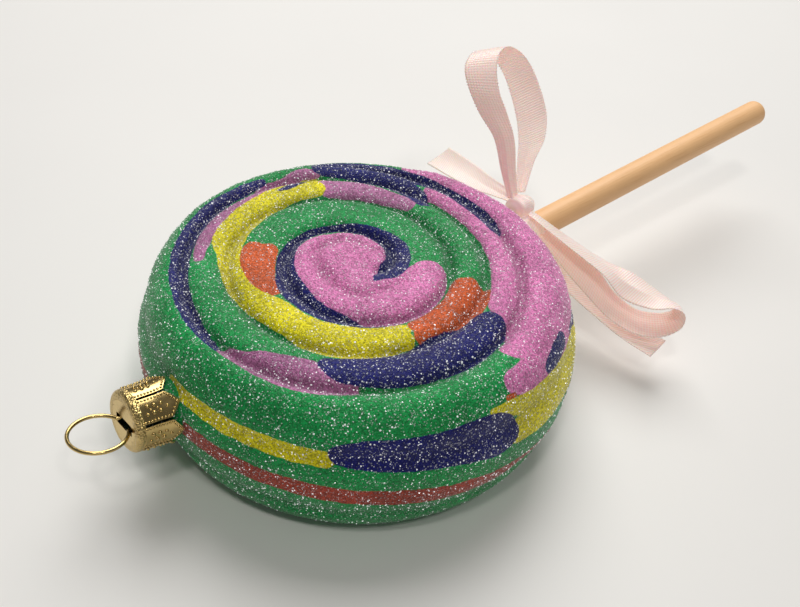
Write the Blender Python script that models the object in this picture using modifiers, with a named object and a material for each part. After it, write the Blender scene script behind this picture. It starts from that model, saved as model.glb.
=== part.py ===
"""A blown-glass Christmas ornament made as a swirl lollipop, lying on its flat back.

The disc's middle is the parent empty, so every size below is measured from there:
+X runs along the stick, the cap and its ring point to -X, and +Z is up.
"""

import math

import bmesh
import bpy
from mathutils import Matrix, Vector

MM = 0.001
WELD = 0.01 * MM
ROUND_STEPS = 32
CUTTER_SPARE = 2.0 * MM

# The glass disc: a shallow dome on each face and a rounded edge
DOME_HEIGHT = 17.1 * MM
DOME_DROP = 0.9 * MM
DOME_RADIUS = 35.8 * MM
EDGE_ROUND = 9.2 * MM
REST_CUT = 0.35 * MM
MID_HEIGHT = DOME_HEIGHT - REST_CUT
DOME_RINGS = 20
EDGE_RINGS = 13
DISC_STEPS = 76
FACE_PART = (0.6, 0.9)

# The coil pressed into both faces: its groove's radius at each quarter turn from the stick
COIL_CENTRE = (-1.9 * MM, 1.7 * MM)
COIL_FIRST_TURN = -0.25
COIL_GROOVE = (4.5, 10.0, 12.6, 13.4, 18.6, 21.5, 24.0, 24.3, 26.3, 28.8, 32.6, 33.3, 35.0, 35.2, 38.0)
COIL_DEPTH = 1.5 * MM
COIL_GROOVE_HALF = 1.9 * MM
COIL_GROOVE_POWER = 1.7
COIL_FADE = 0.15
BACK_COIL_START = 0.35
SIDE_GROOVE_HEIGHT = 7.5 * MM
SIDE_GROOVE_DEPTH = 0.8 * MM
SIDE_GROOVE_HALF = 2.4 * MM

# The coil's outer end stands proud of the rim just past the stick
RIM_END_ANGLE = math.radians(28.0)
RIM_END_BLEND = math.radians(9.0)
RIM_PROUD = 0.7 * MM
RIM_SUNK = -0.8 * MM
RIM_START_RADIUS = 30.0 * MM

# The stick and its socket
STICK_RADIUS = 3.175 * MM
STICK_START = 37.0 * MM
STICK_END = 133.0 * MM
STICK_ROUND = 2.4 * MM
STICK_OFFSET = 1.8 * MM
SOCKET_CUT_END = 60.0 * MM
STICK_RISE = math.radians(3.7)
STICK_TURN = math.radians(0.8)
FIT_GAP = 0.3 * MM

# The neck, the cap over it and the hanger ring share one axis
CAP_FACE = (-53.4 * MM, 0.0, 2.4 * MM)
CAP_RISE = math.radians(7.4)
CAP_RADIUS = 6.1 * MM
CAP_WALL = 0.35 * MM
CAP_SHOULDER = 1.0 * MM
CAP_STEPS = 56
SHOULDER_STEPS = 4
PETALS = 7
PETAL_TURN = math.radians(-38.0)
PETAL_TIP = 8.7 * MM
PETAL_SIDE = 7.0 * MM
PETAL_SLIT_TOP = 1.5 * MM
PETAL_SLIT = 0.6 * MM
PETAL_FLARE_START = 4.0 * MM
PETAL_FLARE = 0.5 * MM
PETAL_SPARE = 0.4 * MM
PETAL_CUT_HALF = 2.6 * MM
NECK_RADIUS = 4.9 * MM
NECK_BORE = 3.9 * MM
NECK_BORE_DEPTH = 6.5 * MM
NECK_TOP = 0.9 * MM
NECK_FLARE = ((4.9, -6.0), (5.3, -8.2), (6.8, -10.5), (6.8, -15.0), (0.0, -15.0))
SLOT_SIZE = (5.9 * MM, 1.5 * MM)
SLOT_MIDDLE = (-0.2 * MM, -0.3 * MM)
SLOT_TURN = math.radians(6.9)

WIRE_RADIUS = 0.39 * MM
RING_RADIUS = 5.4 * MM
RING_OUT = 5.2 * MM
RING_STEPS = 36
RING_LEAN = math.radians(-2.0)
LEG_SPREAD = 2.2 * MM
LEG_DEPTH = 4.4 * MM

# The satin ribbon: each station is a middle point and half of the width at it, in mm
RIBBON_THICKNESS = 0.5 * MM
WRAP_START = 45.9 * MM
WRAP_LENGTH = 4.6 * MM
WRAP_WALL = 0.7 * MM
KNOT_MIDDLE = (48.7, 5.0, 10.2)
KNOT_HALF = (3.1, 3.9, 3.0)
KNOT_LEAN = math.radians(-35.0)
STANDING_LOOP = (
    ((47.7, 6.2, 11.0), (0.8, -0.8, 0.2)),
    ((47.6, 8.8, 16.5), (1.1, -1.3, -0.2)),
    ((47.6, 11.6, 23.7), (1.7, -1.5, 0.0)),
    ((46.5, 15.2, 29.0), (2.4, -1.9, 0.2)),
    ((45.8, 18.2, 33.4), (2.6, -2.1, 0.0)),
    ((46.8, 21.2, 37.0), (2.8, -2.1, 0.4)),
    ((49.8, 23.6, 38.8), (2.9, -1.9, 0.7)),
    ((54.0, 25.0, 38.3), (3.1, -1.9, 0.6)),
    ((58.0, 24.0, 35.6), (3.1, -2.1, 0.2)),
    ((60.0, 21.2, 31.0), (3.0, -2.1, 0.1)),
    ((60.0, 16.5, 24.6), (2.9, -2.1, 0.2)),
    ((57.8, 12.8, 20.0), (2.4, -1.8, 0.2)),
    ((54.3, 10.2, 16.4), (1.5, -1.2, 0.1)),
    ((50.1, 6.6, 11.6), (0.8, -0.7, 0.0)),
)
LYING_LOOP = (
    ((48.8, 4.2, 10.2), (-1.6, -0.5, 0.0)),
    ((49.4, 0.8, 9.6), (-2.0, -0.5, 0.0)),
    ((51.3, -4.5, 7.4), (-2.4, 0.0, -0.4)),
    ((53.3, -11.7, 5.0), (-2.8, 0.0, -0.9)),
    ((56.4, -21.6, 1.6), (-3.2, -0.3, -1.3)),
    ((58.8, -28.4, -0.2), (-2.9, -0.6, -1.7)),
    ((61.9, -33.4, -1.6), (-2.6, -0.9, -1.9)),
    ((63.4, -35.2, -3.4), (-2.6, -1.1, -1.9)),
    ((62.2, -34.4, -5.2), (-2.8, -1.4, -1.3)),
    ((58.6, -31.0, -5.6), (-3.0, -1.8, -0.6)),
    ((55.8, -26.4, -4.9), (-3.1, -1.6, -0.2)),
    ((53.9, -20.7, -3.3), (-3.3, -1.0, -0.2)),
    ((52.0, -13.8, -1.0), (-3.3, -0.6, -0.2)),
    ((50.5, -7.0, 1.8), (-2.8, -0.3, -0.1)),
    ((49.0, -3.9, 4.0), (-2.2, 0.0, 0.0)),
    ((48.3, -3.2, 6.2), (-1.7, 0.0, 0.0)),
)
FRONT_TAIL = (
    ((48.3, -3.15, 4.2), (-1.6, 0.0, 0.0)),
    ((49.2, -4.8, 0.8), (-2.3, 0.2, 0.0)),
    ((51.0, -11.0, -4.0), (-3.0, -0.5, 0.0)),
    ((53.6, -20.0, -7.0), (-3.2, -0.8, 0.0)),
    ((55.6, -28.0, -8.3), (-3.3, -0.8, 0.0)),
    ((57.5, -35.0, -9.0), (-3.4, -0.8, 0.0)),
)
BACK_TAIL = (
    ((48.9, 6.0, 9.8), (-1.5, -0.6, 0.0)),
    ((48.6, 12.0, 9.0), (-2.0, -0.8, -0.4)),
    ((48.4, 17.0, 8.3), (-2.5, -0.5, -0.8)),
    ((48.7, 24.0, 7.5), (-2.9, -0.2, -1.2)),
    ((48.6, 33.4, 6.8), (-2.9, 0.5, -1.6)),
)
RIBBON_SUBSTEPS = 4
KNOT_SEGMENTS = 16
KNOT_RINGS = 10

COLOURS = {
    "glass": ((0.05, 0.40, 0.16, 1.0), 0.45, 0.0),
    "gold": ((0.80, 0.58, 0.26, 1.0), 0.28, 1.0),
    "wood": ((0.85, 0.56, 0.30, 1.0), 0.50, 0.0),
    "satin": ((0.92, 0.76, 0.70, 1.0), 0.42, 0.0),
}


def clear_scene():
    """Remove whatever the scene holds."""
    for obj in list(bpy.data.objects):
        bpy.data.objects.remove(obj, do_unlink=True)


def make_collection(name):
    """Return a new collection linked to the scene."""
    collection = bpy.data.collections.new(name)
    bpy.context.scene.collection.children.link(collection)
    return collection


def make_material(name):
    """Return a Principled material with the named finish."""
    colour, roughness, metallic = COLOURS[name]
    material = bpy.data.materials.new(name)
    material.use_nodes = True
    shader = material.node_tree.nodes["Principled BSDF"]
    shader.inputs["Base Color"].default_value = colour
    shader.inputs["Roughness"].default_value = roughness
    shader.inputs["Metallic"].default_value = metallic
    return material


def baked_mesh(obj):
    """Return the evaluated mesh of an object, its modifiers applied."""
    graph = bpy.context.evaluated_depsgraph_get()
    return bpy.data.meshes.new_from_object(obj.evaluated_get(graph), depsgraph=graph)


def bake(obj, weld=0.0):
    """Replace an object by a plain mesh object of the same name and place."""
    mesh = baked_mesh(obj)
    if weld > 0.0:
        cage = bmesh.new()
        cage.from_mesh(mesh)
        bmesh.ops.remove_doubles(cage, verts=cage.verts, dist=weld)
        cage.to_mesh(mesh)
        cage.free()
    name = obj.name
    place = obj.matrix_world.copy()
    collection = obj.users_collection[0]
    bpy.data.objects.remove(obj, do_unlink=True)
    plain = bpy.data.objects.new(name, mesh)
    plain.matrix_world = place
    collection.objects.link(plain)
    return plain


def turned(name, outline, steps, collection):
    """Turn an outline of (radius, height) points about Z with a Screw."""
    mesh = bpy.data.meshes.new(name)
    points = [(radius, 0.0, height) for radius, height in outline]
    mesh.from_pydata(points, [(i, i + 1) for i in range(len(points) - 1)], [])
    obj = bpy.data.objects.new(name, mesh)
    collection.objects.link(obj)
    screw = obj.modifiers.new("turn", "SCREW")
    screw.axis = "Z"
    screw.steps = steps
    screw.render_steps = steps
    screw.use_merge_vertices = True
    screw.merge_threshold = WELD
    bpy.context.view_layer.update()
    return obj


def set_cutter(obj):
    """Keep a cutter out of the picture."""
    obj.hide_render = True
    obj.display_type = "WIRE"


def boolean(obj, operation, cutters):
    """Join or cut an object with a collection of others, and return it baked."""
    change = obj.modifiers.new("shape", "BOOLEAN")
    change.operation = operation
    change.operand_type = "COLLECTION"
    change.collection = cutters
    change.solver = "EXACT"
    bpy.context.view_layer.update()
    shaped = bake(obj)
    for cutter in list(cutters.objects):
        bpy.data.objects.remove(cutter, do_unlink=True)
    return shaped


def finish(obj, name, material, parent, smooth=35.0):
    """Name, colour, shade and hang an object under its parent."""
    obj.name = name
    obj.data.name = name
    obj.data.materials.clear()
    obj.data.materials.append(material)
    obj.data.shade_smooth()
    obj.data.set_sharp_from_angle(angle=math.radians(smooth))
    obj.parent = parent
    return obj


def curve_through(values, position):
    """Read a smooth curve through equally spaced values at a position counted in steps."""
    last = len(values) - 1
    index = min(max(int(math.floor(position)), 0), last - 1)
    part = position - index
    before = values[max(index - 1, 0)]
    start = values[index]
    end = values[index + 1]
    after = values[min(index + 2, last)]
    bend = (start * 2.0 + (end - before) * part
            + (before * 2.0 - start * 5.0 + end * 4.0 - after) * part ** 2
            + (start * 3.0 - before - end * 3.0 + after) * part ** 3)
    return bend * 0.5


def smooth_step(low, high, value):
    """Rise smoothly from 0 at low to 1 at high."""
    part = min(max((value - low) / (high - low), 0.0), 1.0)
    return part * part * (3.0 - 2.0 * part)


def coil_relief(x, y, first_turn):
    """Depth of the coil's groove at a place on a face, from 0 to COIL_DEPTH."""
    along_x = x - COIL_CENTRE[0]
    along_y = y - COIL_CENTRE[1]
    radius = math.hypot(along_x, along_y)
    angle = math.atan2(along_y, along_x) / math.tau
    last_turn = COIL_FIRST_TURN + (len(COIL_GROOVE) - 1) / 4.0
    depth = 0.0
    for whole in range(-1, 5):
        turn = angle + whole
        if not first_turn <= turn <= last_turn:
            continue
        groove = curve_through(COIL_GROOVE, (turn - COIL_FIRST_TURN) * 4.0) * MM
        fade = smooth_step(first_turn, first_turn + COIL_FADE, turn)
        fade *= 1.0 - smooth_step(last_turn - COIL_FADE, last_turn, turn)
        away = abs(radius - groove) / COIL_GROOVE_HALF
        depth = max(depth, fade * COIL_DEPTH * math.exp(-away ** COIL_GROOVE_POWER))
    return depth


def side_relief(height):
    """Depth of the groove round the side above and below the equator band."""
    away = (abs(height) - SIDE_GROOVE_HEIGHT) / SIDE_GROOVE_HALF
    return SIDE_GROOVE_DEPTH * math.exp(-away ** 2)


def rim_shift(angle):
    """How far the rim stands out: proud at the coil's outer end, sinking round the disc."""
    back = (RIM_END_ANGLE - angle) % math.tau
    share = back / math.tau
    shift = RIM_PROUD + (RIM_SUNK - RIM_PROUD) * share
    step_in = smooth_step(math.tau - RIM_END_BLEND, math.tau, back)
    return shift + (RIM_PROUD - shift) * step_in


def disc_outline():
    """Half outline of the disc, from the top pole down its outer side to the bottom pole."""
    rim_height = DOME_HEIGHT - DOME_DROP
    top = []
    for ring in range(DOME_RINGS + 1):
        share = ring / DOME_RINGS
        top.append((DOME_RADIUS * share, DOME_HEIGHT - DOME_DROP * share ** 2))
    edge = []
    for ring in range(1, EDGE_RINGS):
        angle = math.pi * ring / EDGE_RINGS
        edge.append((DOME_RADIUS + EDGE_ROUND * math.sin(angle), rim_height * math.cos(angle)))
    bottom = [(radius, -height) for radius, height in reversed(top)]
    return top + edge + bottom


def press_coil(mesh):
    """Press the coil and side grooves into the turned disc, then flatten its resting spot."""
    cage = bmesh.new()
    cage.from_mesh(mesh)
    cage.normal_update()
    for vertex in cage.verts:
        x, y, z = vertex.co
        radius = math.hypot(x, y)
        face = smooth_step(*FACE_PART, abs(z) / DOME_HEIGHT)
        first_turn = COIL_FIRST_TURN if z > 0.0 else BACK_COIL_START
        depth = face * coil_relief(x, y, first_turn)
        depth += smooth_step(DOME_RADIUS, DOME_RADIUS + EDGE_ROUND / 2.0, radius) * side_relief(z)
        moved = vertex.co - vertex.normal * depth
        if radius > RIM_START_RADIUS:
            shift = rim_shift(math.atan2(y, x))
            shift *= smooth_step(RIM_START_RADIUS, DOME_RADIUS + EDGE_ROUND, radius)
            moved.x += shift * x / radius
            moved.y += shift * y / radius
        moved.z = max(moved.z, -MID_HEIGHT)
        vertex.co = moved
    cage.to_mesh(mesh)
    cage.free()


def axis_matrix(origin, direction, across):
    """Matrix with Z along a direction and X as near to another as it can be."""
    z_axis = Vector(direction).normalized()
    y_axis = z_axis.cross(Vector(across)).normalized()
    x_axis = y_axis.cross(z_axis)
    turn = Matrix((x_axis, y_axis, z_axis)).transposed().to_4x4()
    return Matrix.Translation(Vector(origin)) @ turn


def stick_matrix():
    """Place of the stick's own axis, its start under the disc's middle."""
    direction = (math.cos(STICK_RISE) * math.cos(STICK_TURN),
                 math.cos(STICK_RISE) * math.sin(STICK_TURN), math.sin(STICK_RISE))
    return axis_matrix((0.0, 0.0, STICK_OFFSET), direction, (0.0, 0.0, 1.0))


def cap_matrix():
    """Place of the cap: Z runs out along the neck, X lies up across it."""
    direction = (-math.cos(CAP_RISE), 0.0, math.sin(CAP_RISE))
    return axis_matrix(CAP_FACE, direction, (0.0, 0.0, 1.0))


def slot_matrix():
    """Place of the slot in the cap's own frame."""
    return Matrix.Translation((*SLOT_MIDDLE, 0.0)) @ Matrix.Rotation(SLOT_TURN, 4, "Z")


def make_glass_body(material, parent, parts, tools):
    """The glass disc with its neck, its socket for the stick and its pressed coil."""
    disc = bake(turned("disc", disc_outline(), DISC_STEPS, parts))
    press_coil(disc.data)

    neck_outline = [(0.0, -NECK_BORE_DEPTH), (NECK_BORE, -NECK_BORE_DEPTH), (NECK_BORE, -NECK_TOP),
                    (NECK_RADIUS, -NECK_TOP)]
    neck_outline += [(radius * MM, height * MM) for radius, height in NECK_FLARE]
    neck = bake(turned("neck", neck_outline, ROUND_STEPS, tools))
    neck.matrix_world = cap_matrix()
    disc = boolean(disc, "UNION", tools)

    socket_outline = [(0.0, SOCKET_CUT_END), (STICK_RADIUS + FIT_GAP, SOCKET_CUT_END),
                      (STICK_RADIUS + FIT_GAP, STICK_START - FIT_GAP), (0.0, STICK_START - FIT_GAP)]
    socket = bake(turned("socket", socket_outline, ROUND_STEPS, tools))
    socket.matrix_world = stick_matrix()
    set_cutter(socket)
    disc = boolean(disc, "DIFFERENCE", tools)
    return finish(disc, "glass_body", material, parent, smooth=60.0)


def petal_gap(name, tools):
    """Cutter for the gap between two petals: a narrow slit that opens to their points."""
    half = PETAL_SLIT / 2.0
    reach = (CAP_RADIUS + PETAL_FLARE) * math.sin(math.pi / PETALS) + half
    outline = [(half, -PETAL_SLIT_TOP), (half, -PETAL_SIDE), (reach, -PETAL_TIP - half),
               (reach, -PETAL_TIP - CUTTER_SPARE), (-reach, -PETAL_TIP - CUTTER_SPARE),
               (-reach, -PETAL_TIP - half), (-half, -PETAL_SIDE), (-half, -PETAL_SLIT_TOP)]
    shape = bpy.data.curves.new(name, "CURVE")
    shape.dimensions = "2D"
    shape.fill_mode = "BOTH"
    shape.extrude = PETAL_CUT_HALF
    line = shape.splines.new("POLY")
    line.points.add(len(outline) - 1)
    for point, place in zip(line.points, outline):
        point.co = (place[0], place[1], 0.0, 1.0)
    line.use_cyclic_u = True
    gap = bpy.data.objects.new(name, shape)
    tools.objects.link(gap)
    bpy.context.view_layer.update()
    return bake(gap, weld=WELD)


def make_cap(material, parent, parts, tools):
    """The pressed cap: a slotted plate, a rounded shoulder and seven pointed petals."""
    outline = [(0.0, 0.0), (CAP_RADIUS - CAP_SHOULDER, 0.0)]
    for step in range(1, SHOULDER_STEPS + 1):
        angle = math.pi / 2.0 * step / SHOULDER_STEPS
        outline.append((CAP_RADIUS - CAP_SHOULDER + CAP_SHOULDER * math.sin(angle),
                        -CAP_SHOULDER + CAP_SHOULDER * math.cos(angle)))
    outline.append((CAP_RADIUS, -PETAL_FLARE_START))
    outline.append((CAP_RADIUS + PETAL_FLARE, -PETAL_TIP - PETAL_SPARE))
    shell = turned("shell", outline, CAP_STEPS, parts)
    wall = shell.modifiers.new("wall", "SOLIDIFY")
    wall.thickness = CAP_WALL
    wall.offset = -1.0
    bpy.context.view_layer.update()
    cap = bake(shell)
    for petal in range(PETALS):
        gap = petal_gap(f"gap_{petal}", tools)
        turn = Matrix.Rotation(PETAL_TURN + math.tau * (petal + 0.5) / PETALS, 4, "Z")
        radial = Matrix.Translation((CAP_RADIUS, 0.0, 0.0)) @ axis_matrix((0.0, 0.0, 0.0), (1, 0, 0), (0, 1, 0))
        gap.matrix_world = turn @ radial
        set_cutter(gap)
    bpy.ops.mesh.primitive_cube_add(size=1.0)
    slot = bpy.context.object
    slot.users_collection[0].objects.unlink(slot)
    tools.objects.link(slot)
    slot.matrix_world = slot_matrix() @ Matrix.Diagonal((SLOT_SIZE[1], SLOT_SIZE[0], CUTTER_SPARE, 1.0))
    set_cutter(slot)
    cap = boolean(cap, "DIFFERENCE", tools)
    cap.matrix_world = cap_matrix()
    return finish(cap, "cap", material, parent)


def make_hanger_ring(material, parent, parts):
    """The wire ring, whose two legs run through the slot into the neck."""
    opening = math.asin(LEG_SPREAD / RING_RADIUS)
    path = [(-LEG_SPREAD, -LEG_DEPTH), (-LEG_SPREAD, -LEG_DEPTH / 2.0)]
    for step in range(RING_STEPS + 1):
        angle = math.pi + opening + (math.tau - 2.0 * opening) * step / RING_STEPS
        path.append((RING_RADIUS * math.sin(angle), RING_OUT + RING_RADIUS * math.cos(angle)))
    path += [(LEG_SPREAD, -LEG_DEPTH / 2.0), (LEG_SPREAD, -LEG_DEPTH)]
    wire = bpy.data.curves.new("wire", "CURVE")
    wire.dimensions = "3D"
    wire.bevel_depth = WIRE_RADIUS
    wire.bevel_resolution = 2
    wire.use_fill_caps = True
    line = wire.splines.new("POLY")
    line.points.add(len(path) - 1)
    for point, (across, out) in zip(line.points, path):
        point.co = (0.0, across, out, 1.0)
    ring = bpy.data.objects.new("ring", wire)
    parts.objects.link(ring)
    bpy.context.view_layer.update()
    ring = bake(ring, weld=WELD)
    ring.matrix_world = cap_matrix() @ slot_matrix() @ Matrix.Rotation(RING_LEAN, 4, "Y")
    return finish(ring, "hanger_ring", material, parent)


def make_stick(material, parent, parts):
    """The wooden stick, round at its far end."""
    outline = []
    for step in range(6):
        angle = math.pi / 2.0 * step / 5.0
        outline.append((STICK_RADIUS * math.sin(angle), STICK_END - STICK_ROUND * (1.0 - math.cos(angle))))
    outline += [(STICK_RADIUS, STICK_START), (0.0, STICK_START)]
    stick = bake(turned("stick", outline, ROUND_STEPS, parts))
    stick.matrix_world = stick_matrix()
    return finish(stick, "stick", material, parent)


def ribbon_strip(name, stations, tools):
    """A strip of ribbon through its stations: a grid bent to the route, given its thickness."""
    middles = [Vector(middle) * MM for middle, _ in stations]
    halves = [Vector(half) * MM for _, half in stations]
    rows = (len(stations) - 1) * RIBBON_SUBSTEPS
    strip = bmesh.new()
    bmesh.ops.create_grid(strip, x_segments=2, y_segments=rows, size=1.0)
    for vertex in strip.verts:
        position = (vertex.co.y + 1.0) / 2.0 * (len(stations) - 1)
        middle = curve_through(middles, position)
        vertex.co = middle + curve_through(halves, position) * vertex.co.x
    mesh = bpy.data.meshes.new(name)
    strip.to_mesh(mesh)
    strip.free()
    obj = bpy.data.objects.new(name, mesh)
    tools.objects.link(obj)
    thickness = obj.modifiers.new("thickness", "SOLIDIFY")
    thickness.thickness = RIBBON_THICKNESS
    thickness.offset = 0.0
    bpy.context.view_layer.update()
    return bake(obj)


def make_ribbon_bow(material, parent, parts, tools):
    """One ribbon round the stick: its wrap, knot, two loops and two tails."""
    inner = STICK_RADIUS + FIT_GAP
    outer = inner + WRAP_WALL
    end = WRAP_START + WRAP_LENGTH
    wrap_outline = [(inner, end), (outer, end), (outer, WRAP_START), (inner, WRAP_START), (inner, end)]
    wrap = bake(turned("wrap", wrap_outline, ROUND_STEPS, parts), weld=WELD)
    wrap.matrix_world = stick_matrix()

    bpy.ops.mesh.primitive_uv_sphere_add(segments=KNOT_SEGMENTS, ring_count=KNOT_RINGS, radius=1.0)
    knot = bpy.context.object
    knot.users_collection[0].objects.unlink(knot)
    tools.objects.link(knot)
    size = Matrix.Diagonal([half * MM for half in KNOT_HALF] + [1.0])
    lean = Matrix.Rotation(KNOT_LEAN, 4, "X")
    knot.matrix_world = Matrix.Translation(Vector(KNOT_MIDDLE) * MM) @ lean @ size
    ribbon_strip("standing_loop", STANDING_LOOP, tools)
    ribbon_strip("lying_loop", LYING_LOOP, tools)
    ribbon_strip("front_tail", FRONT_TAIL, tools)
    ribbon_strip("back_tail", BACK_TAIL, tools)
    bow = boolean(wrap, "UNION", tools)
    return finish(bow, "ribbon_bow", material, parent, smooth=50.0)


def main():
    """Build the ornament."""
    clear_scene()
    parts = make_collection("lollipop_ornament")
    tools = make_collection("cutters")
    middle = bpy.data.objects.new("disc_middle", None)
    middle.location = (0.0, 0.0, MID_HEIGHT)
    parts.objects.link(middle)
    materials = {name: make_material(name) for name in COLOURS}
    make_glass_body(materials["glass"], middle, parts, tools)
    make_cap(materials["gold"], middle, parts, tools)
    make_hanger_ring(materials["gold"], middle, parts)
    make_stick(materials["wood"], middle, parts)
    make_ribbon_bow(materials["satin"], middle, parts, tools)


main()
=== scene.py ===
"""A painted glass tree ornament in the form of a swirl lollipop, dressed around its frame.

Lengths are in millimetres until a mesh is made. The floor is z = 0, the stick points to +X
and the cap to -X. The disc's own heights are counted from its middle plane.
"""

import logging
import math
from contextlib import contextmanager
from dataclasses import dataclass, field
from enum import Enum
from typing import Iterable, Iterator, Mapping, Sequence

import bmesh
import bpy
import numpy as np
from mathutils import Matrix, Vector


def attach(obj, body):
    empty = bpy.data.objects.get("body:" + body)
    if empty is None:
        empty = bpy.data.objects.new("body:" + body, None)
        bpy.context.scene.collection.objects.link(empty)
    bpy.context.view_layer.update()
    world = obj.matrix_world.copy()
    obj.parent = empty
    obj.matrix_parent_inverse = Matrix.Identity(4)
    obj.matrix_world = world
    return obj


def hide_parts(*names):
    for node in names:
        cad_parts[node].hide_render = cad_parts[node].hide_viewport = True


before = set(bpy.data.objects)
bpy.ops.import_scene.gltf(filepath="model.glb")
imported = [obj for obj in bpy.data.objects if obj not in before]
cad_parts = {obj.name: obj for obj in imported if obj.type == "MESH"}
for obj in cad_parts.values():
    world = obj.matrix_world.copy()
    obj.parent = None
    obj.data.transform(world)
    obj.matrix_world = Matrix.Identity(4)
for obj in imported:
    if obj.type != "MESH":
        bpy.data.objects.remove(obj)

LOG = logging.getLogger("lollipop_ornament")
MM = 0.001
WELD = 0.001 * MM
UP = np.array([0.0, 0.0, 1.0])
BODY = "root"

Vec = tuple[float, float, float]
Colour = tuple[float, float, float, float]
Given = Mapping[str | int, object]

BLACK: Colour = (0.0, 0.0, 0.0, 1.0)
WHITE: Colour = (1.0, 1.0, 1.0, 1.0)
FROST: Colour = (0.86, 0.88, 0.92, 1.0)
CLEAR_FLAKE: Colour = (0.95, 0.96, 0.98, 1.0)


class Paint(Enum):
    """The paints on the disc, by the name of the attribute that holds each one's edge."""

    GREEN = "paint_green"
    NAVY = "paint_navy"
    PINK = "paint_pink"
    YELLOW = "paint_yellow"
    ORANGE = "paint_orange"
    RED = "paint_red"
    # A darker, bluer pink laid where the pink lies in grooves; its darkness is painted shade on the pink.
    SHADED_PINK = "paint_mauve"


PAINT_COLOURS: dict[Paint, Colour] = {
    Paint.GREEN: (0.005, 0.325, 0.072, 1.0),
    Paint.NAVY: (0.005, 0.008, 0.150, 1.0),
    Paint.PINK: (0.760, 0.225, 0.500, 1.0),
    Paint.YELLOW: (0.850, 0.760, 0.004, 1.0),
    Paint.ORANGE: (0.720, 0.120, 0.022, 1.0),
    Paint.RED: (0.400, 0.048, 0.022, 1.0),
    # Pink made darker as painted shade for the grooves.
    Paint.SHADED_PINK: (0.520, 0.185, 0.385, 1.0),
}


class Socket(Enum):
    """The kinds of a node group's inputs and outputs."""

    FLOAT = "NodeSocketFloat"
    INT = "NodeSocketInt"
    VECTOR = "NodeSocketVector"
    COLOUR = "NodeSocketColor"
    GEOMETRY = "NodeSocketGeometry"
    MATERIAL = "NodeSocketMaterial"


@dataclass(frozen=True)
class Graph:
    """A short way to add and join the nodes of one shader or geometry tree."""

    tree: bpy.types.NodeTree

    def add(self, kind: str, given: Given | None = None, **settings: object) -> bpy.types.Node:
        """Add a node.

        Args:
            kind: The node's type name.
            given: Values or outputs for its inputs, by the input's name or number.
            **settings: Properties to set on it.

        Returns:
            The new node.
        """
        node = self.tree.nodes.new(kind)
        for name, value in settings.items():
            setattr(node, name, value)
        return self.fill(node, given or {})

    def fill(self, node: bpy.types.Node, given: Given) -> bpy.types.Node:
        """Join outputs to a node's inputs, or set the inputs' own values.

        Args:
            node: The node.
            given: Values or outputs, by the input's name or number.

        Returns:
            The same node.
        """
        for key, value in given.items():
            if isinstance(value, bpy.types.NodeSocket):
                self.tree.links.new(value, node.inputs[key])
            else:
                node.inputs[key].default_value = value
        return node

    def math(self, operation: str, first: object, second: object = 0.0) -> bpy.types.NodeSocket:
        """Return the result of an operation on two values."""
        return self.add("ShaderNodeMath", {0: first, 1: second}, operation=operation).outputs[0]

    def plus(self, first: object, second: object) -> bpy.types.NodeSocket:
        """Return the sum of two values."""
        return self.math("ADD", first, second)

    def minus(self, first: object, second: object) -> bpy.types.NodeSocket:
        """Return the difference of two values."""
        return self.math("SUBTRACT", first, second)

    def times(self, first: object, second: object) -> bpy.types.NodeSocket:
        """Return the product of two values."""
        return self.math("MULTIPLY", first, second)

    def span(self, value: object, low: float, high: float, out_low: float = 0.0,
             out_high: float = 1.0) -> bpy.types.NodeSocket:
        """Return a value carried smoothly from one range to another."""
        given = dict(enumerate((value, low, high, out_low, out_high)))
        return self.add("ShaderNodeMapRange", given, interpolation_type="SMOOTHSTEP").outputs[0]

    def blend(self, share: object, first: object, second: object, way: str = "MIX") -> bpy.types.NodeSocket:
        """Return a mix of two colours."""
        given = {"Factor": share, 6: first, 7: second}
        return self.add("ShaderNodeMix", given, data_type="RGBA", blend_type=way).outputs[2]

    def tint(self, colour: object, tone: object) -> bpy.types.NodeSocket:
        """Return a colour made lighter or darker by a tone."""
        grey = self.add("ShaderNodeCombineColor", {0: tone, 1: tone, 2: tone})
        return self.blend(1.0, colour, grey.outputs[0], "MULTIPLY")

    def noise(self, place: object, scale: object, detail: float = 2.0) -> bpy.types.NodeSocket:
        """Return a noise value at a place."""
        given = {"Vector": place, "Scale": scale, "Detail": detail}
        return self.add("ShaderNodeTexNoise", given).outputs["Fac"]

    def cells(self, place: object, width: float) -> bpy.types.Node:
        """Return a Voronoi node whose cells, of a width in millimetres, have a distance and a colour."""
        return self.add("ShaderNodeTexVoronoi", {"Vector": place, "Scale": 1.0 / (width * MM)})

    def place(self) -> bpy.types.NodeSocket:
        """Return the place on the piece, in metres."""
        return self.add("ShaderNodeTexCoord").outputs["Object"]

    def kept(self, name: str) -> bpy.types.NodeSocket:
        """Return a value kept on the mesh."""
        return self.add("ShaderNodeAttribute", attribute_name=name).outputs["Fac"]

    def use(self, group: bpy.types.NodeTree, **values: object) -> bpy.types.Node:
        """Place a node group with its own values.

        Args:
            group: The group to place.
            **values: Its inputs, by name.

        Returns:
            The group's node.
        """
        return self.add("ShaderNodeGroup", values, node_tree=group)


def new_tree(name: str, kind: str, inputs: Sequence[tuple[str, Socket, object]],
             outputs: Sequence[tuple[str, Socket]]) -> tuple[Graph, bpy.types.Node, bpy.types.Node]:
    """Start a node group.

    Args:
        name: The group's name.
        kind: Its tree's type name.
        inputs: Each input's name, socket and first value.
        outputs: Each output's name and socket.

    Returns:
        The group's graph, its input node and its output node.
    """
    tree = bpy.data.node_groups.new(name, kind)
    for label, socket, value in inputs:
        made = tree.interface.new_socket(label, in_out="INPUT", socket_type=socket.value)
        if value is not None:
            made.default_value = value
    for label, socket in outputs:
        tree.interface.new_socket(label, in_out="OUTPUT", socket_type=socket.value)
    graph = Graph(tree)
    return graph, graph.add("NodeGroupInput"), graph.add("NodeGroupOutput")


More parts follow.
